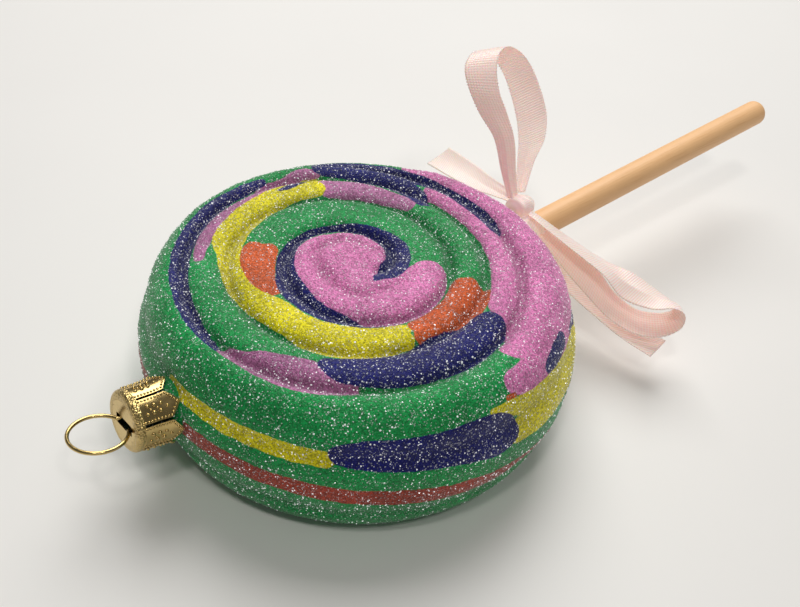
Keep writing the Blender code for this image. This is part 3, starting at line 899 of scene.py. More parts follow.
    def pressed(self, angle: np.ndarray, arc: np.ndarray) -> tuple[np.ndarray, np.ndarray]:
        """Return points of the finished surface and how deep each one is pressed in.

        Args:
            angle: Angles round the disc, in radians from the stick.
            arc: Lengths along the outline from the top's middle.

        Returns:
            The points, in millimetres above the disc's middle plane, and the depths.
        """
        length, radii, heights, out, up = self.outline
        radius, height = np.interp(arc, length, radii), np.interp(arc, length, heights)
        normal_out, normal_up = np.interp(arc, length, out), np.interp(arc, length, up)
        first = np.where(height > 0.0, self.first_turn, self.back_turn)
        x, y = radius * np.cos(angle), radius * np.sin(angle)
        flat = smooth_step(*self.groove_low, np.abs(height) / self.dome_height)
        depth = self.coil_relief(x, y, first) * flat
        depth = depth + self.centre_dent(x, y) * (height > 0.0)
        valley = self.side_depth * np.exp(-((np.abs(height) - self.side_height) / self.side_half) ** 2)
        edge = self.dome_radius + self.edge_round
        depth = depth + valley * smooth_step(self.dome_radius, edge - self.edge_round / 2.0, radius)
        back = np.mod(self.rim_end - angle, math.tau)
        shift = self.rim_proud + (self.rim_sunk - self.rim_proud) * back / math.tau
        shift = shift + (self.rim_proud - shift) * smooth_step(math.tau - self.rim_blend, math.tau, back)
        radius = radius - normal_out * depth + shift * smooth_step(self.rim_start, edge, radius)
        height = np.maximum(height - normal_up * depth, -self.middle)
        return np.stack([radius * np.cos(angle), radius * np.sin(angle), height], axis=-1), depth

    def face_points(self, turn: np.ndarray, radius: np.ndarray) -> np.ndarray:
        """Return surface points of the shown face from places round the coil."""
        x = self.coil_centre[0] + radius * np.cos(turn * math.tau)
        y = self.coil_centre[1] + radius * np.sin(turn * math.tau)
        length, radii = self.outline[0], self.outline[1]
        widest = int(np.argmax(radii))
        arc = np.interp(np.hypot(x, y), radii[:widest], length[:widest])
        return self.surface(np.arctan2(y, x), arc)

    def stroke_points(self, stroke: Stroke) -> tuple[np.ndarray, np.ndarray]:
        """Return the points along a stroke and its half width at each."""
        stations = np.array(stroke.stations)
        spread = np.linspace(0.0, len(stations) - 1.0, 24 * (len(stations) - 1) + 1)
        first, second, half = curve_through(stations, spread).T
        if stroke.side:
            return self.surface(np.radians(first), second), half
        return self.face_points(first, second), half

    def lay_paint(self, points: np.ndarray) -> dict[Paint, np.ndarray]:
        """Lay the strokes in order, each one covering what is under it.

        Args:
            points: The surface's points, in millimetres from the middle plane.

        Returns:
            For each paint, how far inside it every point is.
        """
        limit = self.paint_limit
        inside = {paint: np.full(len(points), -limit) for paint in Paint}
        inside[Paint.GREEN] += 2.0 * limit
        folded = points * np.where(points[:, 2:] < 0.0, np.array([[1.0, 1.0, -1.0]]), 1.0)
        for stroke in FACE_STROKES + SIDE_STROKES:
            along, half = self.stroke_points(stroke)
            ground = points if stroke.side else folded
            reach = half.max() + limit
            near = np.all((ground > along.min(axis=0) - reach) & (ground < along.max(axis=0) + reach), axis=1)
            depth = np.full(int(near.sum()), -limit)
            for point, width in zip(along, half):
                depth = np.maximum(depth, width - np.linalg.norm(ground[near] - point, axis=1))
            depth = np.minimum(depth, limit)
            for paint, value in inside.items():
                if paint is stroke.paint:
                    value[near] = np.maximum(value[near], depth)
                else:
                    value[near] = np.minimum(value[near], -depth)
        return inside

    def rings(self) -> np.ndarray:
        """Return the arc lengths of the rings, close together where the disc is seen."""
        total = self.outline[0][-1]
        fine = np.arange(0.0, self.fine_to, self.fine_ring)
        coarse = np.linspace(self.fine_to, total, int((total - self.fine_to) / self.coarse_ring))
        return np.concatenate([fine, coarse])

    def build(self) -> bpy.types.Object:
        """Make the disc.

        Returns:
            The disc, shown in place of the glass body's solid, which is hidden.
        """
        arcs = self.rings()
        angles = np.arange(self.steps) * math.tau / self.steps
        arc_grid, angle_grid = np.meshgrid(arcs, angles, indexing="ij")
        shape, depth = self.pressed(angle_grid, arc_grid)
        flat = shape.reshape(-1, 3)
        swell = sum(wave_noise(flat, period, seed) * size for period, seed, size in self.swells)
        outward = np.stack([np.cos(angle_grid), np.sin(angle_grid), np.zeros_like(angle_grid)], axis=-1)
        out, up = (np.interp(arc_grid, self.outline[0], part)[..., None] for part in self.outline[3:])
        lift = outward * out + UP * up
        shape = shape + lift * swell.reshape(arc_grid.shape + (1,)) * (arc_grid < self.fine_to)[..., None]
        mesh = grid_mesh("coil_disc", (shape + UP * self.middle) * MM, closed=True)
        # The kept valley is the groove's depth; it sets the painted shade in the grooves and where the
        # glitter gathers.
        keep_values(mesh, "valley", depth.ravel() / self.groove_depth)
        close_poles(mesh, self.steps)
        points = mesh_points(mesh) / MM - UP * self.middle
        for paint, value in self.lay_paint(points).items():
            keep_values(mesh, paint.value, value)
        levels = [points[:, 2] < self.bare_below, points[:, 2] < self.thin_below]
        keep_values(mesh, "glitter", np.select(levels, [0.0, self.thin_share], 1.0))
        mesh.materials.append(self.finish)
        disc = add_object("coil_disc", mesh)
        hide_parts("glass_body")
        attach(disc, BODY)
        return disc


def run_tree(name: str, mesh: bpy.types.Mesh, tree: bpy.types.NodeTree, **values: object) -> bpy.types.Object:
    """Run a geometry tree on a mesh and return its result as a plain object.

    Args:
        name: The result's name.
        mesh: The mesh that the tree works on.
        tree: The geometry tree.
        **values: The tree's inputs, by name.

    Returns:
        The plain object.
    """
    carrier = add_object(name, mesh)
    live = carrier.modifiers.new("tree", "NODES")
    live.node_group = tree
    sockets = {item.name: item.identifier for item in tree.interface.items_tree
               if item.item_type == "SOCKET" and item.in_out == "INPUT"}
    for label, value in values.items():
        live[sockets[label]] = value
    return plain_copy(carrier)


def end_tree(graph: Graph, result: bpy.types.Node, instances: bpy.types.NodeSocket,
             material: bpy.types.NodeSocket) -> None:
    """Realize a tree's instances, give them their material and send them out."""
    real = graph.add("GeometryNodeRealizeInstances", {0: instances})
    dressed = graph.add("GeometryNodeSetMaterial", {"Geometry": real.outputs[0], "Material": material})
    graph.fill(result, {0: dressed.outputs[0]})


@dataclass
class GlitterCoat:
    """Loose flakes of glitter scattered over the disc.

    The density is per square millimetre, the size a flake's radius in millimetres and the grow
    the range of shares of it. The tilt is in radians.
    """

    finish: bpy.types.Material
    density: float = 2.0
    size: float = 0.175
    tilt: float = 0.7
    grow: tuple[float, float] = (0.45, 1.35)
    seed: int = 7

    def tree(self) -> bpy.types.NodeTree:
        """Return the tree that scatters small pyramids, with their chance value kept."""
        graph, given, result = new_tree("glitter_scatter", "GeometryNodeTree", [
            ("Geometry", Socket.GEOMETRY, None), ("Density", Socket.FLOAT, 1.0), ("Size", Socket.FLOAT, MM),
            ("Tilt", Socket.FLOAT, 0.5), ("Seed", Socket.INT, 0), ("Material", Socket.MATERIAL, None)],
            [("Geometry", Socket.GEOMETRY)])
        seed, tilt = given.outputs["Seed"], given.outputs["Tilt"]
        coat = graph.add("GeometryNodeInputNamedAttribute", {"Name": "glitter"}, data_type="FLOAT")
        scatter = graph.add("GeometryNodeDistributePointsOnFaces", {
            "Mesh": given.outputs["Geometry"], "Seed": seed,
            "Density": graph.times(coat.outputs[0], given.outputs["Density"])})
        chance = graph.add("FunctionNodeRandomValue", {"Seed": graph.plus(seed, 1.0)}, data_type="FLOAT")
        keep = graph.add("GeometryNodeStoreNamedAttribute", {
            "Geometry": scatter.outputs["Points"], "Name": "flake", "Value": chance.outputs[1]},
            data_type="FLOAT", domain="POINT")
        lean = graph.add("ShaderNodeCombineXYZ", {0: tilt, 1: tilt, 2: math.pi})
        back = graph.add("ShaderNodeVectorMath", {0: lean.outputs[0], "Scale": -1.0}, operation="SCALE")
        spin = graph.add("FunctionNodeRandomValue", {
            "Min": back.outputs[0], "Max": lean.outputs[0], "Seed": graph.plus(seed, 2.0)},
            data_type="FLOAT_VECTOR")
        turn = graph.add("FunctionNodeRotateRotation", {
            0: scatter.outputs["Rotation"], 1: spin.outputs[0]}, rotation_space="LOCAL")
        flake = graph.add("GeometryNodeMeshCone", {
            "Vertices": 3, "Radius Top": 0.0, "Radius Bottom": 1.0, "Depth": 0.9})
        grow = graph.add("FunctionNodeRandomValue", {
            2: self.grow[0], 3: self.grow[1], "Seed": graph.plus(seed, 3.0)}, data_type="FLOAT")
        spread = graph.add("GeometryNodeInstanceOnPoints", {
            "Points": keep.outputs[0], "Instance": flake.outputs["Mesh"], "Rotation": turn.outputs[0],
            "Scale": graph.times(grow.outputs[1], given.outputs["Size"])})
        end_tree(graph, result, spread.outputs[0], given.outputs["Material"])
        return graph.tree

    def build(self, disc: bpy.types.Object) -> bpy.types.Object:
        """Scatter the flakes over a disc.

        Args:
            disc: The painted disc.

        Returns:
            The flakes, as one plain piece.
        """
        flakes = run_tree("glitter_flakes", disc.data.copy(), self.tree(), Density=self.density / MM ** 2,
                          Size=self.size * MM, Tilt=self.tilt, Seed=self.seed, Material=self.finish)
        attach(flakes, BODY)
        return flakes


def bead_tree() -> bpy.types.NodeTree:
    """Return the tree that puts a round bead on each point, as big as the point says."""
    graph, given, result = new_tree("bead_rows", "GeometryNodeTree", [
        ("Geometry", Socket.GEOMETRY, None), ("Size", Socket.FLOAT, MM), ("Material", Socket.MATERIAL, None)],
        [("Geometry", Socket.GEOMETRY)])
    bead = graph.add("GeometryNodeMeshIcoSphere", {"Radius": 1.0, "Subdivisions": 2})
    smooth = graph.add("GeometryNodeSetShadeSmooth", {"Geometry": bead.outputs["Mesh"]})
    scale = graph.add("GeometryNodeInputNamedAttribute", {"Name": "bead"}, data_type="FLOAT")
    spread = graph.add("GeometryNodeInstanceOnPoints", {
        "Points": given.outputs["Geometry"], "Instance": smooth.outputs["Geometry"],
        "Scale": graph.times(scale.outputs[0], given.outputs["Size"])})
    end_tree(graph, result, spread.outputs[0], given.outputs["Material"])
    return graph.tree


def bead_row(name: str, points: np.ndarray, sizes: np.ndarray, tree: bpy.types.NodeTree, size: float,
             finish: bpy.types.Material) -> bpy.types.Object:
    """Put beads on points.

    Args:
        name: The piece's name.
        points: Where the beads are, in metres.
        sizes: Each bead's share of the size.
        tree: The bead tree.
        size: A whole bead's radius, in millimetres.
        finish: The beads' material.

    Returns:
        The beads, as one plain piece.
    """
    mesh = bpy.data.meshes.new(name)
    mesh.from_pydata(points.tolist(), [], [])
    keep_values(mesh, "bead", sizes)
    beads = run_tree(name, mesh, tree, Size=size * MM, Material=finish)
    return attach(beads, BODY)


def axis_frame(origin: Vec, direction: Vec) -> Matrix:
    """Return the place with Z along a direction and X as near up as it can be."""
    z_axis = Vector(direction).normalized()
    y_axis = z_axis.cross(Vector((0.0, 0.0, 1.0))).normalized()
    x_axis = y_axis.cross(z_axis)
    turn = Matrix((x_axis, y_axis, z_axis)).transposed().to_4x4()
    return Matrix.Translation(Vector(origin)) @ turn


def placed(points: np.ndarray, place: Matrix) -> np.ndarray:
    """Return points in metres, from millimetres in a place's own frame."""
    return (points @ np.array(place.to_3x3()).T + np.array(place.to_translation())) * MM


def turned(section: np.ndarray, turn: np.ndarray, swell: np.ndarray | float = 1.0) -> np.ndarray:
    """Turn a section round Z.

    Args:
        section: Rows of radius and height.
        turn: The angles of the columns.
        swell: The share of the radius that each column has.

    Returns:
        The points, as rows by columns by three.
    """
    radius = section[:, :1] * swell
    return np.stack([radius * np.cos(turn), radius * np.sin(turn), section[:, 1:] + 0.0 * turn], axis=-1)


@dataclass
class OrnamentCap:
    """The pressed cap on the neck, with its petals, beads and hanging ring, and the glass neck.

    The face is the plate's middle, above the disc's middle plane. Distances down a petal are
    counted from the plate.
    """

    metal: bpy.types.Material
    stippled: bpy.types.Material
    glass: bpy.types.Material
    middle: float
    face: Vec = (-53.4, 0.0, 2.4)
    rise: float = math.radians(7.4)
    radius: float = 6.1
    wall: float = 0.32
    shoulder: float = 1.0
    petals: int = 7
    petal_turn: float = math.radians(-38.0)
    petal_side: float = 7.0
    petal_weld: float = 0.004
    petal_tip: float = 9.1
    slit_top: float = 1.5
    slit: float = 0.55
    flare_start: float = 4.0
    flare: float = 0.5
    slot_size: tuple[float, float] = (2.95, 1.1)
    slot_middle: tuple[float, float] = (-0.2, -0.3)
    slot_turn: float = math.radians(6.9)
    stipple_from: float = 4.2
    bead: float = 0.30
    bead_step: float = 0.64
    border_inset: float = 0.38
    border_bead: float = 0.9
    bead_sink: float = 0.03
    ring_radius: float = 5.4
    ring_out: float = 5.2
    ring_lean: float = math.radians(-2.0)
    wire: float = 0.39
    leg_spread: float = 2.2
    leg_depth: float = 4.4
    neck_outline: tuple[tuple[float, float], ...] = (
        (0.0, -6.5), (3.9, -6.5), (3.9, -0.9), (4.4, -0.7), (4.9, -0.9), (4.9, -6.0), (5.3, -8.2),
        (6.4, -10.2), (7.6, -12.5), (0.0, -13.0))
    # Painted shade on the neck: a deep kept valley that darkens it by the cap and inside its bore, fading out
    # between the given distances down.
    neck_painted_shade: float = 6.0
    neck_painted_shade_end: tuple[float, float] = (6.0, 9.0)

    @property
    def place(self) -> Matrix:
        """The cap's own place: Z runs out along the neck and X lies up across it."""
        origin = (self.face[0], self.face[1], self.face[2] + self.middle)
        return axis_frame(origin, (-math.cos(self.rise), 0.0, math.sin(self.rise)))

    def wall_point(self, angle: np.ndarray, down: np.ndarray, lift: float = 0.0) -> np.ndarray:
        """Return points of the cap's outer wall.

        Args:
            angle: Angles round the cap's axis.
            down: Distances down from the plate.
            lift: How far the points stand off the wall.

        Returns:
            The points, in the cap's own frame.
        """
        flare = self.flare * smooth_step(self.flare_start, self.petal_tip, down)
        curve = np.clip(1.0 - down / self.shoulder, 0.0, 1.0)
        inset = self.shoulder * (1.0 - np.sqrt(1.0 - curve ** 2))
        radius = self.radius + flare - inset + lift
        return np.stack([radius * np.cos(angle), radius * np.sin(angle), -down], axis=-1)

    def petal_centres(self) -> np.ndarray:
        """Return the angle of each petal's middle."""
        return self.petal_turn + math.tau * np.arange(self.petals) / self.petals

    def petal_half(self, down: np.ndarray) -> np.ndarray:
        """Return half of a petal's width as an angle, at distances down from the plate."""
        whole = math.pi / self.petals
        full = whole - self.slit / 2.0 / self.radius
        tip = np.clip((self.petal_tip - down) / (self.petal_tip - self.petal_side), 0.0, 1.0)
        return np.where(down <= self.slit_top, whole, full * tip)

    def shell(self) -> bpy.types.Object:
        """Make the plate, the shoulder and the petals as one thin pressed shell."""
        share = np.linspace(-1.0, 1.0, 13)
        curve = self.shoulder * (1.0 - np.cos(np.linspace(0.0, math.pi / 2.0, 7)))
        sides = np.linspace(self.slit_top + 0.15, self.petal_side, 14)
        points = np.linspace(self.petal_side, self.petal_tip, 7)[1:]
        downs = np.concatenate([curve, [self.slit_top], sides, points])
        half = self.petal_half(downs)
        cage = bmesh.new()
        for centre in self.petal_centres():
            angle = centre + half[:, None] * share
            self.add_grid(cage, self.wall_point(angle, downs[:, None] + 0.0 * share))
            self.add_grid(cage, self.plate_rows(centre + math.pi / self.petals * share))
        bmesh.ops.remove_doubles(cage, verts=cage.verts, dist=self.petal_weld)
        bmesh.ops.recalc_face_normals(cage, faces=cage.faces)
        mesh = bpy.data.meshes.new("cap_shell")
        cage.to_mesh(mesh)
        cage.free()
        mesh.transform(Matrix.Scale(MM, 4) @ self.place)
        shell = add_object("cap_shell", mesh)
        wall = shell.modifiers.new("wall", "SOLIDIFY")
        wall.thickness = self.wall * MM
        wall.offset = -1.0
        wall.use_even_offset = True
        shell = plain_copy(shell)
        shell.data.shade_smooth()
        shell.data.set_sharp_from_angle(angle=math.radians(50.0))
        shell.data.materials.append(self.metal)
        shell.data.materials.append(self.stippled)
        inward = self.place.inverted()
        for face in shell.data.polygons:
            spot = inward @ (face.center / MM)
            out = math.hypot(spot.x, spot.y)
            face.material_index = int(spot.z > -self.slit_top and out > self.stipple_from)
        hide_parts("cap")
        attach(shell, BODY)
        return shell

    @staticmethod
    def add_grid(cage: bmesh.types.BMesh, rows: np.ndarray) -> None:
        """Add a grid of faces to a cage.

        Args:
            cage: The mesh that is being made.
            rows: Rows of points.
        """
        made = [[cage.verts.new(point) for point in row] for row in rows]
        for upper, lower in zip(made, made[1:]):
            for i in range(len(upper) - 1):
                cage.faces.new((upper[i], upper[i + 1], lower[i + 1], lower[i]))

    def plate_rows(self, angles: np.ndarray) -> np.ndarray:
        """Return rows of the plate from the slot's edge out to the shoulder."""
        long_half, short_half = self.slot_size
        turned = angles - self.slot_turn
        reach = 1.0 / np.maximum(np.abs(np.cos(turned)) / short_half, np.abs(np.sin(turned)) / long_half)
        edge = np.stack([reach * np.cos(angles) + self.slot_middle[0],
                         reach * np.sin(angles) + self.slot_middle[1]], axis=-1)
        rim = (self.radius - self.shoulder) * np.stack([np.cos(angles), np.sin(angles)], axis=-1)
        rows = []
        for share in np.linspace(0.0, 1.0, 6):
            flat = edge * (1.0 - share) + rim * share
            rows.append(np.concatenate([flat, np.zeros((len(angles), 1))], axis=1))
        return np.array(rows)

    def border(self) -> np.ndarray:
        """Return points round one petal, as distances across and down in millimetres."""
        inset = self.border_inset
        side = (math.pi / self.petals) * self.radius - self.slit / 2.0 - inset
        corner, tip = self.petal_side - inset * 0.3, self.petal_tip - inset * 1.6
        side = np.array([(side, self.slit_top + 0.2), (side, corner), (0.0, tip)])
        pieces = []
        for start, end in zip(side, side[1:]):
            count = max(int(np.linalg.norm(end - start) / self.bead_step), 1)
            pieces.append(start + (end - start) * np.linspace(0.0, 1.0, count, endpoint=False)[:, None])
        half = np.concatenate(pieces + [side[-1:]])
        return np.concatenate([half, half[::-1][1:] * np.array([-1.0, 1.0])])

    @staticmethod
    def motif() -> np.ndarray:
        """Return the dots inside one petal: distances across and down, and bead sizes."""
        return np.array([(-0.75, 2.5, 1.2), (0.75, 2.9, 1.3), (-0.70, 3.8, 1.4), (0.65, 4.2, 1.3),
                         (-0.65, 5.1, 1.3), (0.60, 5.5, 1.2), (0.0, 3.3, 0.8), (0.0, 4.7, 0.8),
                         (-0.2, 6.5, 1.1)])

    def beads(self, tree: bpy.types.NodeTree) -> bpy.types.Object:
        """Make the beaded borders and motifs of all the petals."""
        motif, edge = self.motif(), self.border()
        flat = np.concatenate([edge, motif[:, :2]])
        sizes = np.concatenate([np.full(len(edge), self.border_bead), motif[:, 2]])
        points = [self.wall_point(centre + flat[:, 0] / self.radius, flat[:, 1], -self.bead_sink)
                  for centre in self.petal_centres()]
        rows = bead_row("cap_beads", placed(np.concatenate(points), self.place), np.tile(sizes, self.petals),
                        tree, self.bead, self.metal)
        return rows

    def ring(self) -> bpy.types.Object:
        """Make the wire ring with its two legs."""
        opening = math.asin(self.leg_spread / self.ring_radius)
        leg = np.array([(-self.leg_spread, -self.leg_depth), (-self.leg_spread, -self.leg_depth / 3.0)])
        turn = np.linspace(math.pi + opening, 3.0 * math.pi - opening, 90)
        loop = np.stack([np.sin(turn), np.cos(turn)], axis=-1) * self.ring_radius + (0.0, self.ring_out)
        path = np.concatenate([leg, loop, leg[::-1] * (-1.0, 1.0)])
        wire = bpy.data.curves.new("hanging_wire", "CURVE")
        wire.dimensions = "3D"
        wire.bevel_depth = self.wire
        wire.bevel_resolution = 5
        wire.use_fill_caps = True
        line = wire.splines.new("POLY")
        line.points.add(len(path) - 1)
        for point, (side, out) in zip(line.points, path):
            point.co = (0.0, side, out, 1.0)
        ring = plain_copy(add_object("hanging_wire", wire))
        slot = Matrix.Translation((*self.slot_middle, 0.0)) @ Matrix.Rotation(self.slot_turn, 4, "Z")
        place = self.place @ slot @ Matrix.Rotation(self.ring_lean, 4, "Y")
        ring.data.transform(Matrix.Scale(MM, 4) @ place)
        ring.data.shade_smooth()
        ring.data.materials.append(self.metal)
        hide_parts("hanger_ring")
        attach(ring, BODY)
        return ring

    def neck(self) -> bpy.types.Object:
        """Make the glass neck under the cap, with its bore."""
        turn = np.linspace(0.0, math.tau, 64, endpoint=False)
        rows = placed(turned(np.array(self.neck_outline), turn), self.place)
        mesh = grid_mesh("glass_neck", rows, closed=True)
        close_poles(mesh, len(turn))
        for paint in Paint:
            keep_values(mesh, paint.value, np.full(len(mesh.vertices), 3.0 if paint is Paint.GREEN else -3.0))
        from_plate = mesh_points(mesh) / MM - np.array(self.place.to_translation())
        down = -from_plate @ np.array(self.place.col[2][:3])
        # Painted shade: the neck is darkened next to the cap and inside its bore.
        keep_values(mesh, "valley", self.neck_painted_shade * (1.0 - smooth_step(*self.neck_painted_shade_end, down)))
        with opened(mesh) as cage:
            bmesh.ops.recalc_face_normals(cage, faces=cage.faces)
        mesh.set_sharp_from_angle(angle=math.radians(40.0))
        mesh.materials.append(self.glass)
        neck = add_object("glass_neck", mesh)
        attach(neck, BODY)
        return neck


@dataclass(frozen=True)
class Strip:
    """One run of ribbon, as stations of its middle point and its half width, in millimetres.

    Heights are above the disc's middle plane. The crease lifts the middle of the ribbon into a
    ridge, and the cup bends its edges over. A free end isn't gathered, as the ends at the knot
    are. The weave is how strongly the ribs show.
    """

    name: str
    stations: tuple[tuple[Vec, Vec], ...]
    crease: tuple[float, ...] = (0.0, 0.0)
    cup: tuple[float, ...] = (0.0, 0.0)
    flip: bool = False
    free_end: bool = False
    weave: float = 1.0


STANDING_LOOP = Strip("standing_loop", (
    ((47.7, 6.2, 11.0), (0.8, -0.8, 0.2)), ((47.6, 8.8, 16.5), (1.1, -1.3, -0.2)),
    ((47.6, 11.6, 23.7), (1.7, -1.5, 0.0)), ((46.5, 15.2, 29.0), (2.4, -1.9, 0.2)),
    ((45.8, 18.2, 33.4), (2.6, -2.1, 0.0)), ((46.8, 21.2, 37.0), (2.8, -2.1, 0.4)),
    ((49.8, 23.6, 38.8), (2.9, -1.9, 0.7)), ((54.0, 25.0, 38.3), (3.1, -1.9, 0.6)),
    ((58.0, 24.0, 35.6), (3.1, -2.1, 0.2)), ((60.0, 21.2, 31.0), (3.0, -2.1, 0.1)),
    ((60.0, 16.5, 24.6), (2.9, -2.1, 0.2)), ((57.8, 12.8, 20.0), (2.4, -1.8, 0.2)),
    ((54.3, 10.2, 16.4), (1.5, -1.2, 0.1)), ((50.1, 6.6, 11.6), (0.8, -0.7, 0.0))),
    crease=(0.9, 0.5, 0.0, 0.0, 0.0, 0.0, 0.6), cup=(0.3, 0.2, 0.25, 0.1, 0.3, 0.5, 0.3), weave=0.4)
LYING_LOOP = Strip("lying_loop", (
    ((48.4, 1.0, 10.0), (-1.4, -0.9, 0.5)), ((49.8, -3.1, 8.6), (-2.0, -1.6, 0.9)),
    ((52.9, -10.2, 5.7), (-2.6, -1.95, 1.15)), ((55.8, -17.4, 3.3), (-2.75, -2.0, 0.6)),
    ((57.8, -23.0, 1.2), (-2.8, -1.5, -1.4)), ((60.5, -28.8, 0.2), (-2.8, -1.8, -0.2)),
    ((63.1, -32.6, 0.0), (-2.4, -1.9, 1.6)), ((63.9, -34.2, -1.4), (-1.7, -2.6, 1.5)),
    ((62.7, -34.1, -3.6), (-1.6, -3.0, 0.4)), ((60.0, -31.8, -5.3), (-2.2, -2.6, -0.6)),
    ((57.1, -27.9, -5.6), (-2.4, -2.4, -0.8)), ((54.9, -22.7, -4.0), (-2.55, -2.0, -1.3)),
    ((53.8, -16.6, -0.9), (-2.7, -1.4, -1.7)), ((52.5, -10.5, 2.2), (-2.8, -1.3, -1.3)),
    ((50.8, -4.6, 5.1), (-2.5, -1.2, -0.2)), ((48.8, 0.0, 7.6), (-1.6, -0.8, 0.2))),
    crease=(0.0, -0.5, -1.0, -0.9, 0.0, 0.0, 0.0, 0.0), cup=(0.0, 0.2, 0.3, 0.0, 0.0, 0.2, 0.1), flip=True)
FRONT_TAIL = Strip("front_tail", (
    ((48.3, -3.15, 4.2), (-1.6, 0.0, 0.0)), ((49.4, -4.8, 1.2), (-2.2, 0.1, 0.0)),
    ((51.8, -11.0, -3.2), (-2.8, -0.6, 0.0)), ((54.5, -20.0, -6.5), (-3.1, -0.8, 0.0)),
    ((56.2, -28.0, -8.3), (-3.3, -0.8, 0.0)), ((58.0, -35.0, -9.2), (-3.4, -0.8, 0.0))),
    cup=(0.4, 0.2, 0.1, 0.3), flip=True, free_end=True)
BACK_TAIL = Strip("back_tail", (
    ((48.9, 6.0, 9.8), (-1.5, -0.6, 0.0)), ((48.6, 12.0, 9.0), (-2.0, -0.8, -0.4)),
    ((48.4, 17.0, 8.3), (-2.5, -0.5, -0.8)), ((48.7, 24.0, 7.5), (-2.9, -0.2, -1.2)),
    ((48.6, 33.4, 6.8), (-2.9, 0.5, -1.6))), crease=(0.7, 0.3, 0.0), cup=(0.3, 0.3, 0.2),
    free_end=True, weave=0.5)


